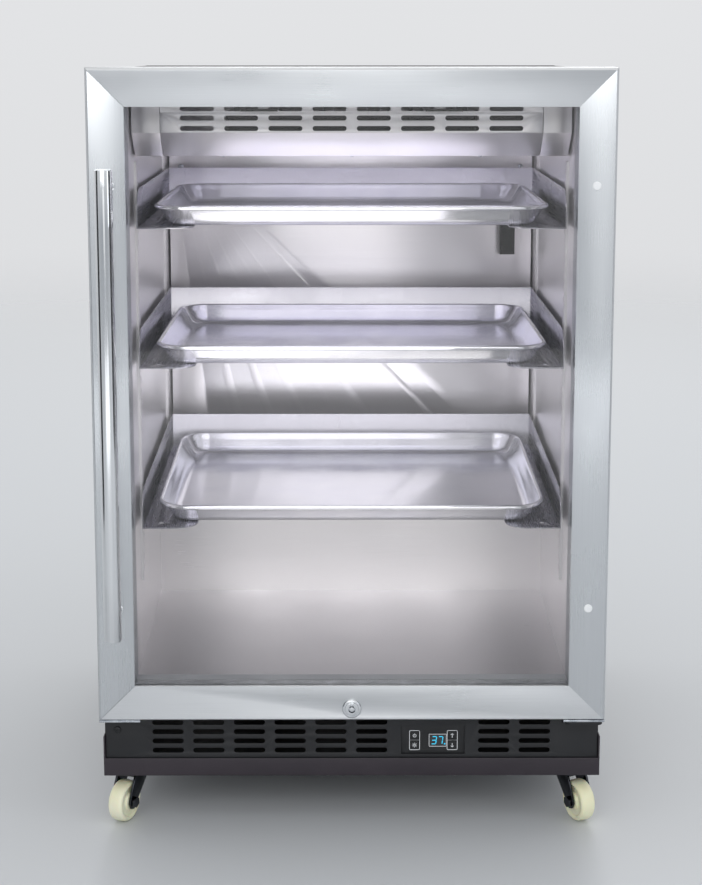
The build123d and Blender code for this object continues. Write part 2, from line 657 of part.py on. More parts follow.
def hinge_cuts():
    """Pocket for the upper hinge arm and hole for the lower pin."""
    arm_z = upper_arm_z()
    pocket = block((HINGE_X - HINGE_ARM_HALF - 4, HALF + 1),
                   (HINGE_DEPTH - HINGE_ARM_HALF - 5, DOOR_THICK + 1), (arm_z[0] - 1, arm_z[1] + 1))
    upper = rod_z(HINGE_X, HINGE_DEPTH, HINGE_PIN_RADIUS + RUN_GAP, (arm_z[0] - 16, arm_z[0]))
    lower = rod_z(HINGE_X, HINGE_DEPTH, HINGE_PIN_RADIUS + RUN_GAP,
                  (DOOR_BOTTOM - 4, DOOR_BOTTOM + 16))
    return pocket + upper + lower


def upper_arm_z():
    """Heights of the upper hinge arm, just under the body's top."""
    return BODY_TOP - 8.0, BODY_TOP - 3.0


def lock_cuts():
    """Barrel hole and the slot in which the cam turns."""
    barrel = rod_y(0, LOCK_Z, LOCK_RADIUS + 1.5, (-1, 29))
    slot = block((-8, CAM_LENGTH + 5), (28.5, 35), (DOOR_BOTTOM - 1, LOCK_Z + 9))
    return barrel + slot


def door_rails():
    """The four mitred pieces of the door frame."""
    frame = door_frame() - hinge_cuts() - lock_cuts()
    low_peak = DOOR_BOTTOM + HALF
    high_peak = DOOR_TOP - HALF
    cutters = {
        "door_rail_top": [(-HALF, DOOR_TOP), (HALF, DOOR_TOP), (0, high_peak)],
        "door_rail_bottom": [(-HALF, DOOR_BOTTOM), (HALF, DOOR_BOTTOM), (0, low_peak)],
        "door_stile_left": [(-HALF, DOOR_BOTTOM), (0, low_peak), (0, high_peak), (-HALF, DOOR_TOP)],
        "door_stile_right": [(HALF, DOOR_BOTTOM), (0, low_peak), (0, high_peak), (HALF, DOOR_TOP)],
    }
    return {name: frame & front_profile(points, (-2, DOOR_THICK + 2))
            for name, points in cutters.items()}


def glass_pane(front_depth):
    """One pane of the double glazing, behind the frame's lip."""
    half = HALF - FRAME_FACE + GLASS_LAP - FREE_GAP
    return block((-half, half), (front_depth, front_depth + GLASS_THICK),
                 (DOOR_BOTTOM + FRAME_FACE - GLASS_LAP + FREE_GAP,
                  DOOR_TOP - FRAME_FACE + GLASS_LAP - FREE_GAP))


def opening_ring(inset, width, depth_range):
    """Frame that follows the glass opening, inset outwards from its edge."""
    half = HALF - FRAME_FACE + inset
    z0 = DOOR_BOTTOM + FRAME_FACE - inset
    z1 = DOOR_TOP - FRAME_FACE + inset
    return ring(half, (z0, z1), half - width, (z0 + width, z1 - width), depth_range)


def glass_spacer():
    """Hollow spacer between the panes."""
    return opening_ring(GLASS_LAP - FREE_GAP, 6.0, (4 + GLASS_THICK, 4 + GLASS_THICK + GLASS_GAP))


def door_liner():
    """Rear trim that closes the frame behind the glass."""
    return opening_ring(GLASS_LAP - 0.1, GLASS_LAP - 1.1,
                        (4 + 2 * GLASS_THICK + GLASS_GAP, DOOR_THICK))


def gasket():
    """Magnetic gasket on the back of the door."""
    half = CAVITY_HALF + 20
    z0 = FLOOR_FRONT - 20
    z1 = CEILING + 18
    rim = ring(half, (z0, z1), half - 14, (z0 + 14, z1 - 14),
               (DOOR_THICK, DOOR_THICK + GASKET_THICK))
    back = [e for e in rim.edges() if e.center().Y > FRONT + DOOR_THICK + GASKET_THICK - 0.1]
    return fillet(back, 2.5)


def handle_bar():
    """Tubular pull with flat ends."""
    z = (HANDLE_Z0, HANDLE_Z1)
    tube = rod_z(HANDLE_X, HANDLE_AXIS_DEPTH, HANDLE_RADIUS, z)
    rim = tube.edges().filter_by(GeomType.CIRCLE)
    tube = fillet(rim, 1.2)
    sockets = [rod_y(HANDLE_X, height, HANDLE_POST_RADIUS, (HANDLE_AXIS_DEPTH, 0))
               for height in HANDLE_POSTS_Z]
    return tube - fuse(sockets)


def handle_posts():
    """Standoffs from the door to the pull, with a collar on the door's face."""
    posts = []
    for height in HANDLE_POSTS_Z:
        post = rod_y(HANDLE_X, height, HANDLE_POST_RADIUS, (HANDLE_AXIS_DEPTH, 0))
        posts.append(post + rod_y(HANDLE_X, height, HANDLE_POST_RADIUS + 1.5, (-2.5, 0)))
    return group(posts)


def plug_caps():
    """Caps over the unused handle holes on the other stile."""
    caps = []
    for height in HANDLE_POSTS_Z:
        cap = rod_y(PLUG_X, height, 5.0, (-1.6, 0))
        caps.append(fillet(cap.edges().filter_by(GeomType.CIRCLE).sort_by(Axis.Y)[0], 1.2))
    return group(caps)


def lock_body():
    """Fixed sleeve and collar of the door lock."""
    collar = rod_y(0, LOCK_Z, LOCK_COLLAR_RADIUS, (-2.5, 0))
    collar = chamfer(collar.edges().filter_by(GeomType.CIRCLE).sort_by(Axis.Y)[0], 1.2)
    sleeve = rod_y(0, LOCK_Z, LOCK_RADIUS + 1.5, (0, 28))
    return collar + sleeve - rod_y(0, LOCK_Z, LOCK_RADIUS + RUN_GAP, (-4, 30))


def lock_cylinder():
    """Turning plug with a tubular keyway, and the cam on its rear."""
    plug = rod_y(0, LOCK_Z, LOCK_RADIUS, (-3.2, CAM_DEPTHS[0]))
    keyway = rod_y(0, LOCK_Z, 4.45, (-5, 3)) - rod_y(0, LOCK_Z, 2.6, (-5, 3))
    notch = block((-1.2, 1.2), (-5, 2), (LOCK_Z + 3, LOCK_Z + 7))
    plug -= keyway + notch
    cam = block((-CAM_HALF, CAM_LENGTH), CAM_DEPTHS, (LOCK_Z - CAM_HALF, LOCK_Z + CAM_HALF))
    cam = fillet(cam.edges().filter_by(Axis.Y), 4)
    return plug + cam


def corner_strips():
    """Hinge-side bearing strip under each lower corner of the door."""
    z = (DOOR_BOTTOM - STRIP_HEIGHT, DOOR_BOTTOM)
    left = block((-HALF, STRIP_LENGTH - HALF), (3, 37), z)
    right = block((HALF - STRIP_LENGTH, HALF), (3, 37), z)
    hole = rod_z(HINGE_X, HINGE_DEPTH, HINGE_PIN_RADIUS + RUN_GAP, (z[0] - 1, z[1] + 1))
    return group([left, right - hole])


# ---- hinges and strike ---------------------------------------------------------------
def hinge_brackets():
    """Lower bracket and upper arm, each with its pin."""
    top = DOOR_BOTTOM - STRIP_HEIGHT - FREE_GAP - 0.5
    half_x = (HINGE_X - HINGE_REACH, HALF - 1)
    leg = block(half_x, (BAND_DEPTH + 0.5, COLLAR_DEPTH), (top - 12, top))
    arm = block(half_x, (8, BAND_DEPTH + 0.5), (top - 5, top))
    arm = fillet(arm.edges().filter_by(Axis.Z).group_by(Axis.Y)[0], 7)
    leg = fillet(leg.edges().filter_by(Axis.X).group_by(Axis.Z)[0].group_by(Axis.Y)[0], 2)
    pin = rod_z(HINGE_X, HINGE_DEPTH, HINGE_PIN_RADIUS, (top - 5, DOOR_BOTTOM + 14))
    washer = rod_z(HINGE_X, HINGE_DEPTH, 7.0, (top - 7, top - 5))
    lower = fuse([leg, arm, pin, washer])
    z0, z1 = upper_arm_z()
    sides = (HINGE_X - HINGE_ARM_HALF, HINGE_X + HINGE_ARM_HALF)
    upper = fuse([
        block(sides, (HINGE_DEPTH, COLLAR_DEPTH), (z0, z1)),
        rod_z(HINGE_X, HINGE_DEPTH, HINGE_ARM_HALF, (z0, z1)),
        rod_z(HINGE_X, HINGE_DEPTH, HINGE_PIN_RADIUS, (z0 - 14, z0)),
        block((HINGE_X - 34, HINGE_X + HINGE_ARM_HALF), (COLLAR_DEPTH - 2, COLLAR_DEPTH),
              (z0 - 6, z1 + 2)),
    ])
    return group([lower, upper])


def strike_plate():
    """Slotted plate on the kick panel that takes the lock's cam as it turns down."""
    plate = block(STRIKE_X, (20, COLLAR_DEPTH - 1), (KICK_TOP, KICK_TOP + 2))
    return plate - block(STRIKE_SLOT_X, STRIKE_SLOT_DEPTHS, (KICK_TOP - 1, KICK_TOP + 3))


# ---- base -----------------------------------------------------------------------------
def base_tray():
    """Floor of the machine space, with an upstand on each side."""
    inner = HALF - SHEET
    floor = block((-inner, inner), (SHELL_DEPTH, CASE_BACK), (CASTER_HEIGHT, TRAY_TOP))
    sides = [block(sorted((s * inner, s * (inner - 2))), (SHELL_DEPTH, CASE_BACK),
                   (TRAY_TOP, TRAY_TOP + 20)) for s in (-1, 1)]
    front = block((-inner, inner), (SHELL_DEPTH - 2, SHELL_DEPTH), (CASTER_HEIGHT, TRAY_TOP + 20))
    return fuse([floor, front] + sides)


def kick_grille():
    """Louvred panel below the door, with the window for the controls."""
    half = HALF - 3
    face = block((-half, half), (KICK_DEPTH, KICK_DEPTH + KICK_SHEET), (BAND_TOP, KICK_TOP))
    returns = [block(sorted((s * half, s * (half - KICK_SHEET))),
                     (KICK_DEPTH, COLLAR_DEPTH), (BAND_TOP, KICK_TOP - 15)) for s in (-1, 1)]
    panel = fuse([face] + returns)
    bracket_top = DOOR_BOTTOM - STRIP_HEIGHT
    panel -= block((HINGE_X - HINGE_REACH - 1, HALF), (BAND_DEPTH, COLLAR_DEPTH + 1),
                   (bracket_top - 14, KICK_TOP + 1))
    rows = [KICK_TOP - 13 - LOUVRE_ROW_PITCH * j for j in range(4)]
    window = (CONTROL_X - CONTROL_WIDTH / 2, CONTROL_X + CONTROL_WIDTH / 2)
    columns = [LOUVRE_FIRST_X + LOUVRE_PITCH * k for k in range(LOUVRE_COLUMNS)]
    clear = [x for x in columns if x + LOUVRE_LENGTH / 2 < window[0] + 8
             or x - LOUVRE_LENGTH / 2 > window[1]]
    panel -= front_slots([(x, z) for x in clear for z in rows], LOUVRE_LENGTH, LOUVRE_WIDTH,
                         (KICK_DEPTH - 1, KICK_DEPTH + KICK_SHEET + 1))
    opening = block(window, (KICK_DEPTH - 1, KICK_DEPTH + KICK_SHEET + 1),
                    (CONTROL_Z - CONTROL_HEIGHT / 2, CONTROL_Z + CONTROL_HEIGHT / 2))
    return panel - opening


def kick_band():
    """Plain lower band of the kick panel with its side returns."""
    face = block((-HALF, HALF), (BAND_DEPTH, BAND_DEPTH + KICK_SHEET), (CASTER_HEIGHT, BAND_TOP))
    returns = [block(sorted((s * HALF, s * (HALF - KICK_SHEET))),
                     (BAND_DEPTH, SHELL_DEPTH - 2), (CASTER_HEIGHT, BAND_TOP + BAND_EAR))
               for s in (-1, 1)]
    return fuse([face] + returns)


def button_places():
    """Centre of each button as (x, z)."""
    upper, lower = (CONTROL_Z + row for row in BUTTON_ROWS)
    return {
        "button_power": (POWER_X, upper),
        "button_light": (POWER_X, lower),
        "button_up": (ARROW_X, upper),
        "button_down": (ARROW_X, lower),
    }


def control_housing():
    """Recessed control box behind the window, with pockets for display and buttons."""
    half_w = CONTROL_WIDTH / 2 + 3
    half_h = CONTROL_HEIGHT / 2 + 3
    pocket = BUTTON_SIZE / 2 + FREE_GAP
    box = block((CONTROL_X - half_w, CONTROL_X + half_w), (CONTROL_FACE, COLLAR_DEPTH - 1),
                (CONTROL_Z - half_h, CONTROL_Z + half_h))
    pockets = [block((x - pocket, x + pocket), (CONTROL_FACE - 1, BUTTON_BACK + 1.5),
                     (z - pocket, z + pocket))
               for x, z in button_places().values()]
    return box - fuse(pockets) - display_block(CONTROL_FACE - 1)


def display_block(front):
    """Space of the display, from the given depth to the floor of its pocket."""
    x0, x1 = DISPLAY_X
    z0, z1 = DISPLAY_Z
    return block((CONTROL_X + x0, CONTROL_X + x1), (front, CONTROL_FACE + 1.5),
                 (CONTROL_Z + z0, CONTROL_Z + z1))


def display():
    """Display window of the controls."""
    return display_block(CONTROL_FACE - 0.4)


def button(place):
    """Flat square push button."""
    x, z = place
    size = BUTTON_SIZE / 2
    cap = block((x - size, x + size), (BUTTON_FRONT, BUTTON_BACK), (z - size, z + size))
    return fillet(cap.edges().filter_by(Axis.Y), 1.5)


def compressor():
    """Hermetic compressor can on a foot plate with four short feet."""
    x = COMPRESSOR_X
    depth = COMPRESSOR_DEPTH
    foot_low = TRAY_TOP + COMPRESSOR_FOOT_RISE
    foot_high = foot_low + 3
    foot = block((x - 80, x + 80), (depth - 55, depth + 55), (foot_low, foot_high))
    pads = [rod_z(x + i * 68, depth + j * 44, 9, (TRAY_TOP, foot_low)) for i in (-1, 1) for j in (-1, 1)]
    can = rod_z(x, depth, COMPRESSOR_RADIUS, (foot_high, foot_high + COMPRESSOR_HEIGHT))
    can = fillet(can.edges().filter_by(GeomType.CIRCLE).sort_by(Axis.Z)[-1], COMPRESSOR_RADIUS / 2)
    return fuse([foot, can] + pads)


def condenser_coil():
    """Finned condenser in front of its fan."""
    left, right = CONDENSER_X
    near, far = CONDENSER_DEPTHS
    z0 = TRAY_TOP + 4
    first = left + 10
    fins = [block((x, x + 0.8), (near + 2, far - 2), (z0, z0 + CONDENSER_HEIGHT - 4))
            for x in (first + CONDENSER_PITCH * i for i in range(CONDENSER_FINS))]
    tubes = [rod_x(d, z0 + 20 + 33 * k, 4, CONDENSER_X) for d in (near + 20, far - 20) for k in range(4)]
    ends = [block((x, x + 2), CONDENSER_DEPTHS, (TRAY_TOP, z0 + CONDENSER_HEIGHT))
            for x in (left, right - 2)]
    return fuse(tubes + ends + fins)


def rear_cover():
    """Louvred cover over the machine space at the back."""
    cut = (CASE_BACK - 1, BODY_DEPTH + 1)
    cover = block((6 - HALF, HALF - 6), (CASE_BACK, BODY_DEPTH), (CASTER_HEIGHT + 8, MACHINE_TOP + 14))
    slots = [(x, CASTER_HEIGHT + INLET_RISE + COVER_LOUVRE_PITCH * j)
             for x in COVER_LOUVRE_X for j in range(COVER_LOUVRE_ROWS)]
    cover -= front_slots(slots, COVER_LOUVRE_LENGTH, COVER_LOUVRE_WIDTH, cut)
    low = CASTER_HEIGHT + INLET_RISE
    return cover - block(INLET_X, cut, (low, low + INLET_HEIGHT))


def cord_inlet():
    """Mains inlet with three blades, set in the rear cover."""
    left, right = INLET_X
    x = (left + right) / 2
    z = CASTER_HEIGHT + INLET_RISE + INLET_HEIGHT / 2
    half = INLET_HEIGHT / 2
    shell = block(INLET_X, (CASE_BACK - 24, BODY_DEPTH), (z - half, z + half))
    shell -= block((left + 5, right - 5), (CASE_BACK - 14, BODY_DEPTH + 1), (z - 8.5, z + 8.5))
    blades = [block((x + dx - 1, x + dx + 1), (CASE_BACK - 15, CASE_BACK - 2),
                    (z + dz - 2.5, z + dz + 2.5))
              for dx, dz in ((-7, -1), (0, 3), (7, -1))]
    return fuse([shell] + blades)


def panel_screws():
    """Round-headed screws of the inner panels, the kick panel and the hinges."""
    heads = []
    for x in (-241, 241):
        for z in (PLENUM_BOTTOM - 40, STEP_TOP + 20):
            heads.append(dome(x, z, 4.0, DUCT_FACE))
    for x in (-153.5, 0, 153.5):
        slope_z = PLENUM_BOTTOM + PLENUM_SLOPE_DROP + 4.0
        heads.append(dome(x, slope_z - 1.0, 2.6, PLENUM_FRONT_DEPTH))
    heads.append(dome(-HALF + 17, KICK_TOP - 22, 4.5, KICK_DEPTH))
    bracket_z = DOOR_BOTTOM - STRIP_HEIGHT - FREE_GAP - 9.5
    for x in (HINGE_X - 22, HINGE_X - 4):
        heads.append(dome(x, bracket_z, 2.6, BAND_DEPTH + 0.5))
    return group(heads)


def dome(x, z, radius, depth):
    """Screw head standing in front of a face at the given depth."""
    head = rod_y(x, z, radius, (depth - 0.45 * radius, depth))
    return fillet(head.edges().filter_by(GeomType.CIRCLE).sort_by(Axis.Y)[0], 0.35 * radius)


# ---- casters -----------------------------------------------------------------------------
def caster_places():
    """Swivel centre and heading in degrees of each caster; 0 trails towards the front."""
    return {
        "front_left": (-CASTER_X, CASTER_FRONT_DEPTH, -CASTER_SPLAY),
        "front_right": (CASTER_X, CASTER_FRONT_DEPTH, CASTER_SPLAY),
        "rear_left": (-CASTER_X, CASTER_REAR_DEPTH, 180),
        "rear_right": (CASTER_X, CASTER_REAR_DEPTH, 180),
    }


def caster_plates():
    """Top plate and fixed race of each caster."""
    plates = []
    for x, depth, _ in caster_places().values():
        shift = -4 if x > 0 else 4
        middle = Pos(x + shift, FRONT + depth, CASTER_HEIGHT - PLATE_THICK / 2)
        plate = middle * Box(PLATE_SIZE, PLATE_SIZE, PLATE_THICK)
        plate = fillet(plate.edges().filter_by(Axis.Z), 5)
        cup = rod_z(x, depth, 15, (CASTER_HEIGHT - PLATE_THICK - CUP_HEIGHT, CASTER_HEIGHT - PLATE_THICK))
        hole = rod_z(x, depth, AXLE_RADIUS + RUN_GAP, (CASTER_HEIGHT - 8, CASTER_HEIGHT - 0.5))
        plates.append(plate + cup - hole)
    return group(plates)


def fork_outline():
    """Side outline of a fork leg as (trail, z) points."""
    top = FORK_TOP
    axle = WHEEL_RADIUS
    return [(-13, top), (17, top), (26, axle + 14), (CASTER_TRAIL + 9, axle), (CASTER_TRAIL + 6, axle - 7),
            (CASTER_TRAIL, axle - 9), (CASTER_TRAIL - 6, axle - 7), (CASTER_TRAIL - 9, axle), (-10, top - 9)]


def local_caster(piece, name):
    """Place a piece built at the origin, trailing towards -Y, under its caster plate."""
    x, depth, heading = caster_places()[name]
    return Pos(x, FRONT + depth, 0) * Rot(0, 0, heading) * piece


def caster_fork(name):
    """Fork with its race and king pin, and the axle bolt with its nut."""
    top = FORK_TOP
    inside = WHEEL_WIDTH / 2 + LEG_GAP
    face = make_face(Polyline([(0, -t, z) for t, z in fork_outline()], close=True))
    legs = [Pos(x, 0, 0) * extrude(face, LEG_THICK, dir=(1, 0, 0)) for x in (-inside - LEG_THICK, inside)]
    half = inside + LEG_THICK
    crown = Pos(0, -2, top - 1) * Box(2 * half, 30, 2.0)
    race = Pos(0, 0, top + RACE_HEIGHT / 2) * Cylinder(12.5, RACE_HEIGHT)
    pin_top = CASTER_HEIGHT - 0.8
    pin_low = top + RACE_HEIGHT
    pin = Pos(0, 0, (pin_low + pin_top) / 2) * Cylinder(AXLE_RADIUS, pin_top - pin_low)
    bore = Pos(0, -CASTER_TRAIL, WHEEL_RADIUS) * Rot(0, 90, 0) * Cylinder(AXLE_RADIUS, 60)
    frame = fuse(legs + [crown, race, pin]) - bore
    side = 1 if "left" in name else -1
    axle = Pos(0, -CASTER_TRAIL, WHEEL_RADIUS) * Rot(0, 90, 0)
    bolt = axle * Cylinder(AXLE_RADIUS, 2 * half)
    head = axle * Pos(0, 0, -side * (half + 1.2)) * Cylinder(7.0, 2.4)
    nut_start = half if side > 0 else -half - NUT_THICK
    nut = axle * Pos(0, 0, nut_start) * extrude(RegularPolygon(7.0, 6), NUT_THICK)
    return local_caster(group([frame, fuse([bolt, head, nut])]), name)


def caster_wheel(name):
    """Nylon wheel with a crowned tread, dished webs and lightening holes."""
    half = WHEEL_WIDTH / 2
    radius = WHEEL_RADIUS
    bore = AXLE_RADIUS + RUN_GAP
    with BuildPart() as wheel:
        with BuildSketch(Plane.XZ):
            with BuildLine():
                Polyline([(bore, half), (10, half), (12, half - 3), (18, half - 3), (19.5, half - 0.5),
                          (21.5, half - 0.5)])
                ThreePointArc((21.5, half - 0.5), (radius - 0.9, half - 3.2), (radius - 0.3, half - 6))
                ThreePointArc((radius - 0.3, half - 6), (radius, 0), (radius - 0.3, 6 - half))
                ThreePointArc((radius - 0.3, 6 - half), (radius - 0.9, 3.2 - half), (21.5, 0.5 - half))
                Polyline([(21.5, 0.5 - half), (19.5, 0.5 - half), (18, 3 - half), (12, 3 - half),
                          (10, -half), (bore, -half), (bore, half)])
            make_face()
        revolve(axis=Axis.Z)
    holes = [Rot(0, 0, 60 * i) * Pos(15, 0, 0) * Cylinder(2.2, WHEEL_WIDTH) for i in range(6)]
    solid = wheel.part - fuse(holes)
    placed = Pos(0, -CASTER_TRAIL, WHEEL_RADIUS) * Rot(0, 90, 0) * solid
    return local_caster(placed, name)


def all_parts():
    """Every sub-part by name."""
    parts = {
        "outer_case": outer_case(),
        "insulation": insulation(),
        "liner": liner(),
        "front_collar": front_collar(),
        "duct_cover": duct_cover(),
        "plenum_cover": plenum_cover(),
        "light_modules": light_modules(),
        "evaporator_coil": evaporator_coil(),
        "circulation_rotor": circulation_rotor(),
        "condenser_fan": condenser_fan(),
        "fan_motors": fan_motors(),
        "heater_rod": heater_rod(),
        "sensor_cover": sensor_cover(),
        "pilasters": pilasters(),
        "outer_glass": glass_pane(4.0),
        "inner_glass": glass_pane(4.0 + GLASS_THICK + GLASS_GAP),
        "glass_spacer": glass_spacer(),
        "door_liner": door_liner(),
        "gasket": gasket(),
        "handle_bar": handle_bar(),
        "handle_posts": handle_posts(),
        "plug_caps": plug_caps(),
        "lock_body": lock_body(),
        "lock_cylinder": lock_cylinder(),
        "corner_strips": corner_strips(),
        "hinge_brackets": hinge_brackets(),
        "strike_plate": strike_plate(),
        "base_tray": base_tray(),
        "kick_grille": kick_grille(),
        "kick_band": kick_band(),
        "control_housing": control_housing(),
        "display": display(),
        "compressor": compressor(),
        "condenser_coil": condenser_coil(),
        "rear_cover": rear_cover(),
        "cord_inlet": cord_inlet(),
        "panel_screws": panel_screws(),
        "caster_plates": caster_plates(),
    }
    parts.update(door_rails())
    for level, (slot, rear_up) in RACK_SLOTS.items():
        parts[f"rack_{level}"] = rack(slot, rear_up)
        parts[f"pan_{level}"] = pan(slot, rear_up)
    for name, place in button_places().items():
        parts[name] = button(place)
    for name in caster_places():
        parts[f"caster_fork_{name}"] = caster_fork(name)
        parts[f"caster_wheel_{name}"] = caster_wheel(name)
    return parts


os.makedirs("parts", exist_ok=True)
for part_name, shape in all_parts().items():
    export_step(shape, f"parts/{part_name}.step")
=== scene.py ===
"""Looks of an undercounter proofing cabinet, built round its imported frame.

Sizes are in millimetres where a name ends in _mm and in metres elsewhere.
"""

import json
import logging
import math
from dataclasses import dataclass, field
from enum import Enum
from typing import Dict, Iterable, List, NamedTuple, Optional, Sequence, Tuple

import bmesh
import bpy
from mathutils import Matrix, Vector


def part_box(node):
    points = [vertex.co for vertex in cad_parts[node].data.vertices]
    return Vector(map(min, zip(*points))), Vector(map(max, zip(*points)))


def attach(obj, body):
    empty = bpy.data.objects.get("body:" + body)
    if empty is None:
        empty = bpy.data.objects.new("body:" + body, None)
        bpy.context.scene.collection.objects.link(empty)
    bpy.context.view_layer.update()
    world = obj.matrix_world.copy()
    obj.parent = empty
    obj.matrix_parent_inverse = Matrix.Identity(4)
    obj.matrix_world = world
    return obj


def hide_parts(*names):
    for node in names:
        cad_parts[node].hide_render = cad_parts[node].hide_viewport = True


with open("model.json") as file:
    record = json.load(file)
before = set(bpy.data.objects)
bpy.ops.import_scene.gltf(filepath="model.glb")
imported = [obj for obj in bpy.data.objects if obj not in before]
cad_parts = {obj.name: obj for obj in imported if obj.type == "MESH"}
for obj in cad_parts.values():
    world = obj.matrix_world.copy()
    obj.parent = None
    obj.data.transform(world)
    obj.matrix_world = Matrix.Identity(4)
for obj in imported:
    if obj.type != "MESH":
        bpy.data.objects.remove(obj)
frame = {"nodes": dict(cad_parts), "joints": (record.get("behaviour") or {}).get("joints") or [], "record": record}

LOG = logging.getLogger("cabinet")
MM = 0.001
Point = Tuple[float, float, float]
Pair = Tuple[float, float]
Colour = Tuple[float, float, float, float]
Outlines = List[List[Point]]
Tree, Socket = bpy.types.NodeTree, bpy.types.NodeSocket
Object, Material = bpy.types.Object, bpy.types.Material


class Grain(Enum):
    """Direction in which a sheet was brushed."""

    ACROSS = "X"
    DEEP = "Y"
    UPRIGHT = "Z"

    def spread_axis(self) -> str:
        """Axis of the radial tangent that lies square to the scratches on a front face."""
        return "Z" if self is Grain.UPRIGHT else "X"


# ---- shader helpers --------------------------------------------------------------
def srgb(code: str) -> Colour:
    """Turn an sRGB hex colour into linear RGBA.

    Args:
        code: Six hex digits with a leading hash.

    Returns:
        Linear red, green, blue and an alpha of 1.
    """
    values = [int(code[i:i + 2], 16) / 255 for i in (1, 3, 5)]
    linear = [v / 12.92 if v <= 0.04045 else ((v + 0.055) / 1.055) ** 2.4 for v in values]
    return (linear[0], linear[1], linear[2], 1.0)


def add_node(tree: Tree, kind: str, settings: Optional[dict] = None,
             links: Optional[dict] = None) -> bpy.types.Node:
    """Add a node with its settings and links.

    Args:
        tree: Node tree that takes the node.
        kind: Blender's node type name.
        settings: Attributes, or input values where the key names an input.
        links: Output sockets by the input that each one feeds.

    Returns:
        The new node.
    """
    node = tree.nodes.new(kind)
    for key, value in (settings or {}).items():
        if isinstance(key, int) or key in node.inputs:
            node.inputs[key].default_value = value
        else:
            setattr(node, key, value)
    for key, socket in (links or {}).items():
        tree.links.new(socket, node.inputs[key])
    return node


def new_material(name: str) -> Tuple[Material, Tree, bpy.types.Node]:
    """Start a material with an empty tree and an output.

    Args:
        name: Material name.

    Returns:
        The material, its tree and its output node.
    """
    material = bpy.data.materials.new(name)
    material.use_nodes = True
    tree = material.node_tree
    tree.nodes.clear()
    return material, tree, add_node(tree, "ShaderNodeOutputMaterial")


def ramp(tree: Tree, factor: Socket,
         stops: Sequence[Tuple[float, Colour]]) -> Socket:
    """Colour ramp from a factor.

    Args:
        tree: Node tree.
        factor: Socket that drives the ramp.
        stops: Position and colour of each stop.

    Returns:
        The ramp's colour socket.
    """
    node = add_node(tree, "ShaderNodeValToRGB", links={"Fac": factor})
    elements = node.color_ramp.elements
    while len(elements) < len(stops):
        elements.new(0.5)
    for element, (place, colour) in zip(elements, stops):
        element.position = place
        element.color = colour
    return node.outputs["Color"]


def object_noise(tree: Tree, per_metre: Point, detail: float = 2.0) -> Socket:
    """Noise on Object coordinates with its own density along each axis.

    Args:
        tree: Node tree.
        per_metre: Features per metre along X, Y and Z.
        detail: Octaves of detail.

    Returns:
        The noise factor socket.
    """
    where = add_node(tree, "ShaderNodeTexCoord").outputs["Object"]
    placed = add_node(tree, "ShaderNodeMapping", {"Scale": per_metre}, {"Vector": where})
    noise = add_node(tree, "ShaderNodeTexNoise", {"Scale": 1.0, "Detail": detail},
                     {"Vector": placed.outputs["Vector"]})
    return noise.outputs["Fac"]


def spread(tree: Tree, factor: Socket, low: float,
           high: float) -> Socket:
    """Map the middle of a noise onto a range.

    Args:
        tree: Node tree.
        factor: Noise between 0 and 1.
        low: Value at the noise's low side.
        high: Value at its high side.

    Returns:
        The mapped value's socket.
    """
    node = add_node(tree, "ShaderNodeMapRange",
                    {"From Min": 0.3, "From Max": 0.7, "To Min": low, "To Max": high},
                    {"Value": factor})
    return node.outputs["Result"]


def relief(tree: Tree, height: Socket, strength: float,
           depth: float = 0.0003) -> Socket:
    """Normal socket of a fine relief.

    Args:
        tree: Node tree.
        height: Height factor.
        strength: Share of the relief that shows.
        depth: Full depth in metres.

    Returns:
        The bent normal's socket.
    """
    node = add_node(tree, "ShaderNodeBump", {"Strength": strength, "Distance": depth}, {"Height": height})
    return node.outputs["Normal"]


@dataclass(frozen=True)
class BrushedSteel:
    """Stainless sheet brushed one way: parallel scratches that draw the glare into soft streaks."""

    name: str
    light: str
    dark: str
    grain: Grain
    rough: Pair = (0.24, 0.36)
    streak_mm: float = 1.1  # real scratches are near 0.1 mm; drawn coarser so that they show
    streak_length_mm: float = 120.0
    smudge_mm: float = 90.0
    anisotropic: float = 0.55
    bump: float = 0.04
    metallic: float = 1.0

    def build(self) -> Material:
        """Make the material."""
        material, tree, output = new_material(self.name)
        across, along = 1 / (self.streak_mm * MM), 1 / (self.streak_length_mm * MM)
        density = tuple(along if axis == self.grain.value else across for axis in "XYZ")
        streaks = object_noise(tree, density, 3.0)
        smudge = object_noise(tree, (1 / (self.smudge_mm * MM),) * 3, 2.0)
        colour = ramp(tree, streaks, ((0.3, srgb(self.dark)), (0.7, srgb(self.light))))
        rough = add_node(tree, "ShaderNodeMath", {"operation": "ADD"},
                         {0: spread(tree, streaks, *self.rough), 1: spread(tree, smudge, -0.03, 0.04)})
        tangent = add_node(tree, "ShaderNodeTangent",
                           {"direction_type": "RADIAL", "axis": self.grain.spread_axis()})
        shader = add_node(tree, "ShaderNodeBsdfPrincipled",
                          {"Metallic": self.metallic, "Anisotropic": self.anisotropic},
                          {"Base Color": colour, "Roughness": rough.outputs[0],
                           "Normal": relief(tree, streaks, self.bump, 0.0002),
                           "Tangent": tangent.outputs["Tangent"]})
        tree.links.new(shader.outputs["BSDF"], output.inputs["Surface"])
        return material


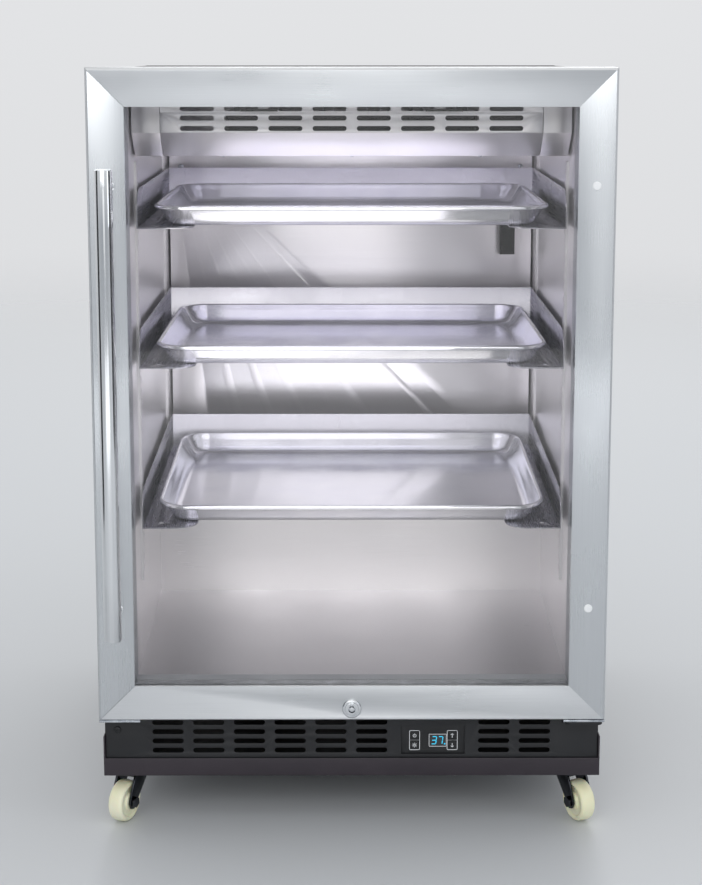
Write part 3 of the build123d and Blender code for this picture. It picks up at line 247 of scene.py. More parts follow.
@dataclass(frozen=True)
class CastOrRolledMetal:
    """Bare or plated metal without a brushed direction: even sheen broken by faint handling marks."""

    name: str
    light: str
    dark: str
    rough: Pair
    mark_mm: float = 14.0
    scratch_mm: float = 0.9
    bump: float = 0.04
    metallic: float = 1.0

    def build(self) -> Material:
        """Make the material."""
        material, tree, output = new_material(self.name)
        marks = object_noise(tree, (1 / (self.mark_mm * MM),) * 3, 3.0)
        fine = object_noise(tree, (1 / (self.scratch_mm * MM), 40.0, 1 / (self.scratch_mm * MM)), 2.0)
        colour = ramp(tree, marks, ((0.3, srgb(self.dark)), (0.7, srgb(self.light))))
        rough = add_node(tree, "ShaderNodeMath", {"operation": "ADD"},
                         {0: spread(tree, marks, *self.rough), 1: spread(tree, fine, -0.02, 0.03)})
        shader = add_node(tree, "ShaderNodeBsdfPrincipled", {"Metallic": self.metallic},
                          {"Base Color": colour, "Roughness": rough.outputs[0],
                           "Normal": relief(tree, fine, self.bump)})
        tree.links.new(shader.outputs["BSDF"], output.inputs["Surface"])
        return material


@dataclass(frozen=True)
class CoatedOrMoulded:
    """Powder coat, moulded plastic or rubber: a plain colour with a fine skin and slight dust."""

    name: str
    base: str
    worn: str
    rough: Pair
    skin_mm: float
    bump: float = 0.15
    coat: float = 0.0
    subsurface: float = 0.0

    def build(self) -> Material:
        """Make the material."""
        material, tree, output = new_material(self.name)
        skin = object_noise(tree, (1 / (self.skin_mm * MM),) * 3, 2.0)
        dust = object_noise(tree, (14.0, 14.0, 22.0), 3.0)
        colour = ramp(tree, dust, ((0.35, srgb(self.base)), (0.75, srgb(self.worn))))
        shader = add_node(tree, "ShaderNodeBsdfPrincipled",
                          {"Coat Weight": self.coat, "Subsurface Weight": self.subsurface,
                           "Subsurface Scale": 0.004},
                          {"Base Color": colour, "Roughness": spread(tree, skin, *self.rough),
                           "Normal": relief(tree, skin, self.bump)})
        tree.links.new(shader.outputs["BSDF"], output.inputs["Surface"])
        return material


@dataclass(frozen=True)
class FloatGlass:
    """Clear float glass pane: see-through, with a mirror sheen and a trace of wiping marks."""

    name: str
    tint: str
    ior: float = 1.45
    sheen: float = 0.4  # share kept of each face's mirror sheen, as on a low-reflection pane

    def build(self) -> Material:
        """Make the material."""
        material, tree, output = new_material(self.name)
        wipes = object_noise(tree, (9.0, 9.0, 3.0), 3.0)
        through = add_node(tree, "ShaderNodeBsdfTransparent", {"Color": srgb(self.tint)})
        sheen = add_node(tree, "ShaderNodeBsdfGlossy", {"Color": (1, 1, 1, 1)},
                         {"Roughness": spread(tree, wipes, 0.01, 0.05)})
        amount = add_node(tree, "ShaderNodeFresnel", {"IOR": self.ior})
        share = add_node(tree, "ShaderNodeMath", {"operation": "MULTIPLY", 1: self.sheen},
                         {0: amount.outputs["Fac"]})
        both = add_node(tree, "ShaderNodeMixShader",
                        links={0: share.outputs[0], 1: through.outputs["BSDF"],
                               2: sheen.outputs["BSDF"]})
        tree.links.new(both.outputs["Shader"], output.inputs["Surface"])
        return material


@dataclass(frozen=True)
class Glowing:
    """Lit film: light digits or a diffuser strip, a little uneven."""

    name: str
    colour: str
    strength: float

    def build(self) -> Material:
        """Make the material."""
        material, tree, output = new_material(self.name)
        patch = object_noise(tree, (300.0, 300.0, 300.0), 1.0)
        full = srgb(self.colour)
        tone = ramp(tree, patch, ((0.2, tuple(0.8 * part for part in full[:3]) + (1.0,)), (0.9, full)))
        shader = add_node(tree, "ShaderNodeBsdfPrincipled",
                          {"Emission Strength": self.strength, "Roughness": 0.4},
                          {"Base Color": tone, "Emission Color": tone})
        tree.links.new(shader.outputs["BSDF"], output.inputs["Surface"])
        return material


FINISHES = (
    # brushed 304 sheet on the door: cool grey with long fine streaks
    BrushedSteel("door_steel_across", "#dcdee0", "#d7d9db", Grain.ACROSS, rough=(0.28, 0.32),
                 streak_mm=0.6, bump=0.006),
    # stiles: the same sheet as the rails, painted a shade darker; a painted shade for the darker studio that they
    # reflect
    BrushedSteel("door_steel_upright_shaded", "#d5d8db", "#d0d3d6", Grain.UPRIGHT, rough=(0.26, 0.3),
                 streak_mm=0.6, bump=0.006),
    BrushedSteel("handle_steel", "#e6e8ea", "#dcdee0", Grain.UPRIGHT, rough=(0.1, 0.14), streak_mm=0.6,
                 anisotropic=0.3, bump=0.004),
    # 430 liner sheet with a dull rolled finish: bright, warmer, and it scatters more than the door
    BrushedSteel("liner_steel", "#f0eef0", "#eae8ea", Grain.ACROSS, rough=(0.3, 0.38), streak_mm=0.8,
                 streak_length_mm=60.0, anisotropic=0.3, bump=0.01, metallic=0.88),
    # rack sheet: the liner's stainless painted darker, a painted shade for the shade that falls on the racks'
    # walls between the pans
    BrushedSteel("rack_steel_painted_shade", "#b4b3ba", "#a8a7af", Grain.DEEP, rough=(0.22, 0.32), streak_mm=0.8,
                 streak_length_mm=60.0, anisotropic=0.2, bump=0.01, metallic=0.95),
    # pressed and polished sheet-pan aluminium: pale as the metal is, but the faint lilac tint and the diffuse
    # share are painted light that brightens the pans' floors
    CastOrRolledMetal("pan_aluminium", "#f7f7fb", "#ebebf2", (0.1, 0.17), mark_mm=45.0, metallic=0.8),
    CastOrRolledMetal("fin_aluminium", "#c9ccd0", "#a5a9ad", (0.3, 0.45)),
    CastOrRolledMetal("zinc_plate", "#cfd3d8", "#a9aeb6", (0.22, 0.34), mark_mm=6.0),
    CastOrRolledMetal("bright_chrome", "#e6e8ea", "#cfd2d6", (0.06, 0.12)),
    # caster forks: chrome painted dark grey, a painted reflection of the dark surroundings that bright chrome
    # would mirror
    CastOrRolledMetal("chrome_painted_dark", "#4b4d52", "#3a3c40", (0.14, 0.22)),
    CastOrRolledMetal("heater_steel", "#6b6460", "#4a4442", (0.35, 0.5)),
    # powder coat has an orange-peel skin about 1.5 mm across
    CoatedOrMoulded("charcoal_powder_coat", "#17181b", "#1f2023", (0.4, 0.5), 1.5),
    CoatedOrMoulded("plum_black_band", "#2a242b", "#322b32", (0.4, 0.5), 1.5),
    CoatedOrMoulded("case_powder_coat", "#1d1e20", "#27282b", (0.4, 0.52), 1.5),
    CoatedOrMoulded("compressor_enamel", "#0d0d0e", "#1a1a1b", (0.22, 0.32), 2.5, coat=0.4),
    CoatedOrMoulded("black_abs", "#141517", "#1c1d20", (0.42, 0.55), 0.6, bump=0.2),
    CoatedOrMoulded("grey_abs", "#c6c8cc", "#b8babf", (0.4, 0.5), 0.6),
    CoatedOrMoulded("white_abs", "#f4f5f6", "#e9ebed", (0.25, 0.35), 0.6),
    CoatedOrMoulded("fan_plastic", "#2c2d2f", "#38393b", (0.45, 0.6), 0.8),
    CoatedOrMoulded("gasket_rubber", "#4b4d51", "#5a5c60", (0.55, 0.7), 0.8),
    CoatedOrMoulded("pu_foam", "#e8d9a6", "#d6c48c", (0.8, 0.95), 1.2, bump=0.5),
    CoatedOrMoulded("cast_nylon", "#f5f4d8", "#e8e6bc", (0.3, 0.42), 1.0, bump=0.08, subsurface=0.15),
    CoatedOrMoulded("screen_glass", "#05080b", "#0a0e12", (0.06, 0.1), 1.0, bump=0.02, coat=1.0),
    CoatedOrMoulded("printed_ink", "#eef0f2", "#dfe2e5", (0.5, 0.6), 0.5, bump=0.05),
    FloatGlass("float_glass", "#fefefe"),
    Glowing("cyan_segments", "#35b4d6", 1.0),
)


class Paints:
    """Every finish by name, built once."""

    def __init__(self, finishes: Iterable) -> None:
        """Build all finishes."""
        self.by_name: Dict[str, Material] = {f.name: f.build() for f in finishes}

    def put(self, obj: Object, name: str) -> None:
        """Give an object one finish on all its faces.

        Args:
            obj: Mesh object.
            name: Finish name.
        """
        obj.data.materials.clear()
        obj.data.materials.append(self.by_name[name])


# ---- mesh helpers ---------------------------------------------------------------
def node_bodies() -> Dict[str, str]:
    """Body of each CAD node, from the record."""
    bodies = frame["record"]["behaviour"]["bodies"]
    return {node: body for body, nodes in bodies.items() for node in nodes}


def link(obj: Object) -> Object:
    """Put an object in the scene and return it."""
    bpy.context.scene.collection.objects.link(obj)
    return obj


def mesh_object(name: str, verts: Sequence[Point], faces: Sequence[Sequence[int]]) -> Object:
    """Make a mesh object with its normals turned outwards.

    Args:
        name: Piece name.
        verts: Corners in metres.
        faces: Corner numbers of each face.

    Returns:
        The linked object.
    """
    mesh = bpy.data.meshes.new(name)
    mesh.from_pydata([tuple(v) for v in verts], [], [tuple(f) for f in faces])
    work = bmesh.new()
    work.from_mesh(mesh)
    bmesh.ops.remove_doubles(work, verts=work.verts, dist=1e-6)
    bmesh.ops.recalc_face_normals(work, faces=work.faces)
    work.to_mesh(mesh)
    work.free()
    return link(bpy.data.objects.new(name, mesh))


def smooth(obj: Object, angle: float = 35.0) -> None:
    """Shade smooth, with edges sharper than angle (degrees) kept crisp."""
    mesh = obj.data
    mesh.shade_smooth()
    mesh.set_sharp_from_angle(angle=math.radians(angle))


def settle(obj: Object) -> Object:
    """Replace an object by a plain mesh of its evaluated shape.

    Args:
        obj: Object whose modifiers are to be kept as mesh.

    Returns:
        The same object, with plain mesh and no modifiers.
    """
    depsgraph = bpy.context.evaluated_depsgraph_get()
    mesh = bpy.data.meshes.new_from_object(obj.evaluated_get(depsgraph))
    obj.modifiers.clear()
    obj.data = mesh
    return obj


def rounded_loop(half_w: float, half_d: float, radius: float, steps: int = 10) -> List[Pair]:
    """Points round a rectangle with round corners.

    Args:
        half_w: Half width.
        half_d: Half depth.
        radius: Corner radius.
        steps: Steps round each corner.

    Returns:
        Points in order, anticlockwise.
    """
    points = []
    for turn, (sx, sy) in enumerate(((1, 1), (-1, 1), (-1, -1), (1, -1))):
        cx, cy = sx * (half_w - radius), sy * (half_d - radius)
        for step in range(steps + 1):
            angle = math.radians(90) * (turn + step / steps)
            points.append((cx + radius * math.cos(angle), cy + radius * math.sin(angle)))
    return points


def ring_quads(rings: int, count: int, steps: int) -> List[Tuple[int, ...]]:
    """Side faces between rings of points that lie one after another.

    Args:
        rings: Number of rings.
        count: Points in a ring.
        steps: Gaps to face; as many as there are rings closes the last on the first.

    Returns:
        The faces as point numbers.
    """
    faces = []
    for i in range(steps):
        n = (i + 1) % rings
        for j in range(count):
            k = (j + 1) % count
            faces.append((i * count + j, i * count + k, n * count + k, n * count + j))
    return faces


def stand_in(obj: Object, node: str, body: str) -> Object:
    """Let an object stand for a CAD node and ride on a body.

    Args:
        obj: Finished object.
        node: CAD node that it hides.
        body: Body that it moves with.

    Returns:
        The same object.
    """
    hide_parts(node)
    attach(obj, body)
    LOG.info("%s stands for %s", obj.name, node)
    return obj


def lathe(name: str, profile: Sequence[Pair], segments: int = 64) -> Object:
    """Turn a closed outline of (radius, height) points about Z.

    Args:
        name: Piece name.
        profile: Outline, first point repeated by the closing edge.
        segments: Steps round the axis.

    Returns:
        The turned object, about the origin.
    """
    verts = [(r * math.cos(a), r * math.sin(a), h)
             for a in (2 * math.pi * i / segments for i in range(segments)) for r, h in profile]
    count = len(profile)
    faces = []
    for i in range(segments):
        for j in range(count):
            k = (j + 1) % count
            a, b = i * count, ((i + 1) % segments) * count
            faces.append((a + j, b + j, b + k, a + k))
    return mesh_object(name, verts, faces)


def box_mesh(name: str, low: Point, high: Point) -> Object:
    """Block between two corners.

    Args:
        name: Piece name.
        low: Lowest corner.
        high: Highest corner.

    Returns:
        The block.
    """
    corners = [(x, y, z) for x in (low[0], high[0]) for y in (low[1], high[1]) for z in (low[2], high[2])]
    faces = [(0, 1, 3, 2), (4, 6, 7, 5), (0, 4, 5, 1), (2, 3, 7, 6), (0, 2, 6, 4), (1, 5, 7, 3)]
    obj = mesh_object(name, corners, faces)
    smooth(obj)
    return obj


class Softener:
    """Copies CAD nodes with their edges eased, as sheet and castings really have."""

    def __init__(self, paints: Paints) -> None:
        """Keep the finishes and the node table."""
        self.paints = paints
        self.bodies = node_bodies()

    def ease(self, node: str, finish: str, width_mm: float, angle: float = 40.0) -> Object:
        """Replace a CAD node by a merged copy with rounded edges.

        Args:
            node: CAD node name.
            finish: Finish name.
            width_mm: Edge radius.
            angle: Smallest edge angle that is rounded, in degrees.

        Returns:
            The copy, riding on the node's body.
        """
        source = frame["nodes"][node]
        mesh = source.data.copy()
        mesh.name = f"{node}.eased"
        obj = link(bpy.data.objects.new(f"{node}.eased", mesh))
        work = bmesh.new()
        work.from_mesh(mesh)
        bmesh.ops.remove_doubles(work, verts=work.verts, dist=2e-6)
        bmesh.ops.dissolve_limit(work, angle_limit=math.radians(1.0), verts=work.verts, edges=work.edges)
        work.to_mesh(mesh)
        work.free()
        modifier = obj.modifiers.new("eased", "BEVEL")
        modifier.width = width_mm * MM
        modifier.segments = 2
        modifier.limit_method = "ANGLE"
        modifier.angle_limit = math.radians(angle)
        modifier.use_clamp_overlap = True
        settle(obj)
        self.paints.put(obj, finish)
        smooth(obj, 30.0)
        return stand_in(obj, node, self.bodies[node])


# ---- repeating pieces by Geometry Nodes ---------------------------------------------
class Repeater:
    """Geometry Nodes tree that sets a template at points."""

    def __init__(self) -> None:
        """Build the tree once."""
        self.tree = self._build()

    @staticmethod
    def _build() -> Tree:
        """Tree: the host's points each take the template, turned and painted."""
        tree = bpy.data.node_groups.new("template_at_points", "GeometryNodeTree")
        face = tree.interface
        face.new_socket("Points", in_out="INPUT", socket_type="NodeSocketGeometry")
        face.new_socket("Template", in_out="INPUT", socket_type="NodeSocketObject")
        face.new_socket("Turn", in_out="INPUT", socket_type="NodeSocketVector")
        face.new_socket("Random Spin", in_out="INPUT", socket_type="NodeSocketFloat")
        face.new_socket("Finish", in_out="INPUT", socket_type="NodeSocketMaterial")
        face.new_socket("Result", in_out="OUTPUT", socket_type="NodeSocketGeometry")
        given = add_node(tree, "NodeGroupInput")
        result = add_node(tree, "NodeGroupOutput")
        points = add_node(tree, "GeometryNodeMeshToPoints", links={"Mesh": given.outputs["Points"]})
        template = add_node(tree, "GeometryNodeObjectInfo", links={"Object": given.outputs["Template"]})
        spin = add_node(tree, "FunctionNodeRandomValue", {"data_type": "FLOAT", "Seed": 7},
                        {3: given.outputs["Random Spin"]})
        twist = add_node(tree, "ShaderNodeCombineXYZ", links={"Z": spin.outputs[1]})
        placed = add_node(tree, "GeometryNodeInstanceOnPoints",
                          links={"Points": points.outputs["Points"],
                                 "Instance": template.outputs["Geometry"],
                                 "Rotation": given.outputs["Turn"]})
        turned = add_node(tree, "GeometryNodeRotateInstances", {"Local Space": True},
                          {"Instances": placed.outputs["Instances"], "Rotation": twist.outputs["Vector"]})
        real = add_node(tree, "GeometryNodeRealizeInstances",
                        links={"Geometry": turned.outputs["Instances"]})
        painted = add_node(tree, "GeometryNodeSetMaterial",
                           links={"Geometry": real.outputs["Geometry"],
                                  "Material": given.outputs["Finish"]})
        tree.links.new(painted.outputs["Geometry"], result.inputs["Result"])
        return tree

    def repeat(self, name: str, places: Sequence[Point], template: Object,
               finish: Material, turn: Point = (0, 0, 0),
               spin: float = 0.0) -> Object:
        """Set a template at places and keep the result as mesh.

        Args:
            name: Name of the whole piece.
            places: Centres in metres.
            template: Mesh about the origin; it is removed afterwards.
            finish: Material of every copy.
            turn: Euler turn of every copy, in radians.
            spin: Largest random turn about the template's own Z, in radians.

        Returns:
            The plain mesh object.
        """
        host = mesh_object(name, places, [])
        modifier = host.modifiers.new("repeat", "NODES")
        modifier.node_group = self.tree
        values = {"Template": template, "Turn": turn, "Random Spin": spin, "Finish": finish}
        for item in self.tree.interface.items_tree:
            if item.item_type == "SOCKET" and item.in_out == "INPUT" and item.name in values:
                modifier[item.identifier] = values[item.name]
        settle(host)
        bpy.data.objects.remove(template)
        smooth(host)
        return host


def screw_template(radius: float) -> Object:
    """Pan-head screw with a cross recess, facing +Z.

    Args:
        radius: Head radius.

    Returns:
        The template, about the origin.
    """
    height = 0.5 * radius
    dome = [(0.02 * radius, 0.0)]
    dome += [(radius, 0.0), (radius, 0.12 * radius)]
    dome += [(radius * math.cos(a), 0.12 * radius + (height - 0.12 * radius) * math.sin(a))
             for a in (math.radians(d) for d in (25, 45, 65, 78))]
    dome.append((0.02 * radius, height))
    head = lathe("screw_head", dome, 20)
    arms = []
    for quarter in (0, 90):
        arm = box_mesh("recess", (-0.52 * radius, -0.09 * radius, height * 0.62),
                       (0.52 * radius, 0.09 * radius, height * 1.3))
        arm.data.transform(Matrix.Rotation(math.radians(quarter), 4, "Z"))
        arms.append(arm)
    for arm in arms:
        cut = head.modifiers.new("cross", "BOOLEAN")
        cut.operation = "DIFFERENCE"
        cut.object = arm
        cut.solver = "EXACT"
    settle(head)
    for arm in arms:
        bpy.data.objects.remove(arm)
    return head


# ---- sub-assemblies ---------------------------------------------------------------
@dataclass
class SheetPan:
    """Half-size pressed sheet pan with a rolled rim."""

    node: str
    body: str
    tilt: float  # radians about the rack's front tabs
    rim_w_mm: float = 475.0
    rim_d_mm: float = 336.0
    height_mm: float = 25.0
    flare_mm: float = 18.0
    sheet_mm: float = 1.1
    roll_mm: float = 3.0
    corner_mm: float = 39.0

    def profile(self) -> List[Pair]:
        """Closed outline as (inset from the rim's edge, height), underside first, in mm."""
        h, t, roll = self.height_mm, self.sheet_mm, self.roll_mm
        slope = (self.flare_mm - roll) / (h - 1)
        under = [(150.0, 0.0), (110.0, 0.0), (60.0, 0.0), (24.0, 0.0), (20.5, 0.35), (18.4, 1.6)]
        outside = [(self.flare_mm - slope * z, z) for z in (3.5, 9.0, 15.0, h - 6.0)]
        bead = [(roll - roll * math.cos(a), h - roll + roll * math.sin(a))
                for a in (math.radians(d) for d in range(-70, 151, 20))]
        inside = [(self.flare_mm - slope * z + t * 1.15, z) for z in (h - 5.0, 15.0, 9.0, 5.5)]
        floor = [(19.6, 3.0), (21.6, 1.5), (25.0, t), (60.0, t), (110.0, t), (150.0, t)]
        return under + outside + bead + inside + floor

    def build(self, paints: Paints) -> Object:
        """Make the pan in its place and put it on its body.

        Args:
            paints: Finishes.

        Returns:
            The pan.
        """
        low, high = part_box(self.node)
        half_w, half_d = self.rim_w_mm / 2, self.rim_d_mm / 2
        verts: List[Point] = []
        rings = self.profile()
        for inset, z in rings:
            radius = max(self.corner_mm - inset * 0.85, 6.0)
            for x, y in rounded_loop(half_w - inset, half_d - inset, radius):
                sag = 0.35 * math.sin(x / 61.0) * math.cos(y / 47.0)
                sag += 0.25 * math.sin(x / 23.0 + y / 31.0)
                calm = min(max(inset - 20.0, 0.0) / 40.0, 1.0)
                verts.append((x * MM, y * MM, (z + 0.5 * sag * calm + 0.25 * calm) * MM))
        count = len(verts) // len(rings)
        faces = [tuple(reversed(range(count)))] + ring_quads(len(rings), count, len(rings) - 1)
        faces.append(tuple(range((len(rings) - 1) * count, len(rings) * count)))
        obj = mesh_object(f"{self.node}.pressed", verts, faces)
        centre = Vector((0.0, (low.y + high.y) / 2, (low.z + high.z) / 2))
        turn = Matrix.Rotation(self.tilt, 4, "X")
        middle = turn @ Vector((0, 0, self.height_mm * MM / 2))
        obj.data.transform(Matrix.Translation(centre - middle) @ turn)
        smooth(obj, 50.0)
        paints.put(obj, "pan_aluminium")
        return stand_in(obj, self.node, self.body)


@dataclass
class CasterWheel:
    """Cast nylon wheel, turned with a crowned tread and a dished web."""

    place: str  # front_left and so on
    radius_mm: float = 24.9
    half_mm: float = 9.95
    bore_mm: float = 4.1

    def outline(self) -> List[Pair]:
        """Half outline mirrored to both faces, in mm."""
        r, h = self.radius_mm, self.half_mm
        hub = [(self.bore_mm, h), (8.2, h), (9.6, h - 0.5)]
        web = [(11.0, h - 3.0), (17.4, h - 3.0), (18.8, h - 0.9)]
        rim = [(20.6, h - 0.25), (22.2, h - 0.7), (23.6, h - 2.0)]
        half = hub + web + rim + [(r - 0.55, h - 4.0), (r - 0.12, h - 6.8), (r, 0.0)]
        return half + [(a, -b) for a, b in reversed(half[:-1])]

    def build(self, paints: Paints, axis: Vector) -> Object:
        """Make the wheel at its node's place.

        Args:
            paints: Finishes.
            axis: Direction of the axle.

        Returns:
            The wheel.
        """
        node = f"caster_wheel_{self.place}"
        low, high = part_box(node)
        wheel = lathe(f"{node}.turned", [(r * MM, h * MM) for r, h in self.outline()], 72)
        turn = Vector((0, 0, 1)).rotation_difference(axis).to_matrix().to_4x4()
        wheel.data.transform(Matrix.Translation((low + high) / 2) @ turn)
        smooth(wheel, 40.0)
        paints.put(wheel, "cast_nylon")
        return stand_in(wheel, node, f"wheel_{self.place}")


@dataclass
class PullHandle:
    """Tubular pull: a smooth brushed tube with flat, chamfered ends."""

    node: str = "handle_bar"
    chamfer_mm: float = 1.0

    def build(self, paints: Paints) -> Object:
        """Make the tube and put it on the door.

        Args:
            paints: Finishes.

        Returns:
            The tube.
        """
        low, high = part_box(self.node)
        r, length, c = (high.x - low.x) / 2, high.z - low.z, self.chamfer_mm * MM
        profile = [(0.0005, 0.0), (r - 2.2 * c, 0.0), (r - c, 0.0), (r - 0.3 * c, 0.3 * c), (r, c)]
        profile += [(r, length * i / 8) for i in range(1, 8)]
        profile += [(a, length - b) for a, b in reversed(profile[:5])]
        tube = lathe(f"{self.node}.tube", profile, 64)
        tube.data.transform(Matrix.Translation(((low.x + high.x) / 2, (low.y + high.y) / 2, low.z)))
        smooth(tube, 35.0)
        paints.put(tube, "handle_steel")
        return stand_in(tube, self.node, "door")


@dataclass
class Gasket:
    """Magnetic door gasket with two soft folds, swept round the door's back."""

    node: str = "gasket"
    body: str = "door"
    corner_mm: float = 6.0

    def build(self, paints: Paints) -> Object:
        """Make the gasket from rings of its section.

        Args:
            paints: Finishes.

        Returns:
            The gasket.
        """
        low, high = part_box(self.node)
        depth = high.y - low.y
        # inset from the outer edge in mm, and share of the depth towards the body
        section = [(0.0, 0.0), (0.0, 0.25), (1.6, 0.38), (0.2, 0.55), (0.6, 0.85), (2.0, 0.99)]
        section += [(6.9, 0.93), (11.8, 0.99), (13.4, 0.85), (13.8, 0.55), (12.4, 0.38), (14.0, 0.25)]
        section.append((14.0, 0.0))
        half_w, half_h = (high.x - low.x) / 2, (high.z - low.z) / 2
        mid_x, mid_z = (high.x + low.x) / 2, (high.z + low.z) / 2
        verts = []
        for inset_mm, share in section:
            inset = inset_mm * MM
            radius = max(self.corner_mm * MM - inset * 0.3, 0.001)
            for x, z in rounded_loop(half_w - inset, half_h - inset, radius, 6):
                verts.append((mid_x + x, low.y + depth * share, mid_z + z))
        rings = len(section)
        obj = mesh_object(f"{self.node}.folds", verts, ring_quads(rings, len(verts) // rings, rings))
        smooth(obj, 45.0)
        paints.put(obj, "gasket_rubber")
        return stand_in(obj, self.node, self.body)


@dataclass
class Controls:
    """Printed outlines, icons and lit digits of the control window."""

    paints: Paints
    line_mm: float = 0.7
    lift_mm: float = 0.12
    names: Tuple[str, ...] = ("button_power", "button_light", "button_up", "button_down")
    segments: Dict[str, str] = field(default_factory=lambda: {"3": "abgcd", "7": "abc"})

    def bar(self, start: Pair, end: Pair, y: float, width: float) -> List[Point]:
        """Corners of a flat-ended bar between two points of a front-facing plane."""
        a, b = Vector(start), Vector(end)
        side = Vector((-(b - a).y, (b - a).x)).normalized() * width / 2
        return [(p.x, y, p.y) for p in (a + side, b + side, b - side, a - side)]

    def plate(self, name: str, outlines: Sequence[List[Point]], finish: str, body: str) -> Object:
        """Thin raised print from several outlines.

        Args:
            name: Piece name.
            outlines: Corners of each patch on its plane.
            finish: Finish name.
            body: Body it rides on.

        Returns:
            The print.
        """
        verts: List[Point] = []
        faces: List[Tuple[int, ...]] = []
        thick = self.lift_mm * MM
        for outline in outlines:
            n, start = len(outline), len(verts)
            verts += outline + [(x, y - thick, z) for x, y, z in outline]
            faces.append(tuple(start + i for i in range(n)))
            faces.append(tuple(start + n + i for i in range(n)))
            faces += [(start + i, start + (i + 1) % n, start + n + (i + 1) % n, start + n + i)
                      for i in range(n)]
        obj = mesh_object(name, verts, faces)
        self.paints.put(obj, finish)
        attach(obj, body)
        return obj

    def frame_lines(self, half: float, mid: Pair, y: float, corner: float = 0.0012) -> Outlines:
        """Rounded square outline drawn as short bars."""
        loop = rounded_loop(half, half, corner, 3)
        width = self.line_mm * MM
        return [self.bar((mid[0] + a[0], mid[1] + a[1]), (mid[0] + b[0], mid[1] + b[1]), y, width)
                for a, b in zip(loop, loop[1:] + loop[:1])]

    def ring_lines(self, radius: float, mid: Pair, y: float, start: float,
                   end: float) -> Outlines:
        """Part of a circle drawn as short bars, angles in degrees."""
        steps = 12
        angles = [math.radians(start + (end - start) * i / steps) for i in range(steps + 1)]
        points = [(mid[0] + radius * math.cos(a), mid[1] + radius * math.sin(a)) for a in angles]
        return [self.bar(a, b, y, self.line_mm * MM) for a, b in zip(points, points[1:])]

    def icon(self, name: str, mid: Pair, y: float) -> Outlines:
        """Lines of a button's icon."""
        x, z = mid
        width = self.line_mm * MM
        if name == "button_power":
            stem = self.bar((x, z), (x, z + 0.0026), y, width)
            return self.ring_lines(0.0019, mid, y, 120, 420) + [stem]
        if name == "button_light":
            rays = [self.bar((x + 0.0018 * math.cos(a), z + 0.0018 * math.sin(a)),
                             (x + 0.003 * math.cos(a), z + 0.003 * math.sin(a)), y, width * 0.8)
                    for a in (math.radians(45 * i) for i in range(8))]
            return self.ring_lines(0.0011, mid, y, 0, 360) + rays
        way = 1 if name == "button_up" else -1
        tip = (x, z + way * 0.0026)
        wings = [self.bar(tip, (x + s * 0.0017, z + way * 0.0008), y, width) for s in (-1, 1)]
        return wings + [self.bar(tip, (x, z - way * 0.0026), y, width)]

    def digit(self, figure: str, mid: Pair, y: float) -> Outlines:
        """Segments of one seven-segment figure, leaning a little."""
        w, h, lean, thick = 0.0026, 0.0046, 0.0006, 0.00105
        gap = 0.00035
        ends = {
            "a": ((-w + gap, h), (w - gap, h)), "g": ((-w + gap, 0), (w - gap, 0)),
            "d": ((-w + gap, -h), (w - gap, -h)),
            "b": ((w, h - gap), (w, gap)), "c": ((w, -gap), (w, -h + gap)),
            "f": ((-w, h - gap), (-w, gap)), "e": ((-w, -gap), (-w, -h + gap)),
        }
        lines = []
        for key in self.segments[figure]:
            (ax, az), (bx, bz) = ends[key]
            lines.append(self.bar((mid[0] + ax + lean * az / h, mid[1] + az),
                                  (mid[0] + bx + lean * bz / h, mid[1] + bz), y, thick))
        return lines

    def build(self) -> None:
        """Make the prints of every button and of the display."""
        housing_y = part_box("control_housing")[0].y
        outlines: Outlines = []
        for name in self.names:
            low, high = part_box(name)
            mid = ((low.x + high.x) / 2, (low.z + high.z) / 2)
            self.plate(f"{name}.icon", self.icon(name, mid, low.y), "printed_ink", name)
            outlines += self.frame_lines((high.x - low.x) / 2 + 0.0011, mid, housing_y)
        low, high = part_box("display")
        mid = ((low.x + high.x) / 2, (low.z + high.z) / 2)
        inset, width = 0.0008, self.line_mm * MM * 0.8
        left, right, foot, head = low.x + inset, high.x - inset, low.z + inset, high.z - inset
        corners = [(left, foot), (right, foot), (right, head), (left, head)]
        edge = [self.bar(a, b, low.y, width) for a, b in zip(corners, corners[1:] + corners[:1])]
        self.plate("display.outline", edge, "printed_ink", "cabinet")
        self.plate("control_housing.outlines", outlines, "printed_ink", "cabinet")
        lit = self.digit("3", (mid[0] - 0.0044, mid[1]), low.y)
        lit += self.digit("7", (mid[0] + 0.0032, mid[1]), low.y)
        lit += self.ring_lines(0.0007, (mid[0] + 0.0085, mid[1] - 0.0045), low.y, 0, 360)
        self.plate("display.digits", lit, "cyan_segments", "cabinet")
        LOG.info("controls printed")


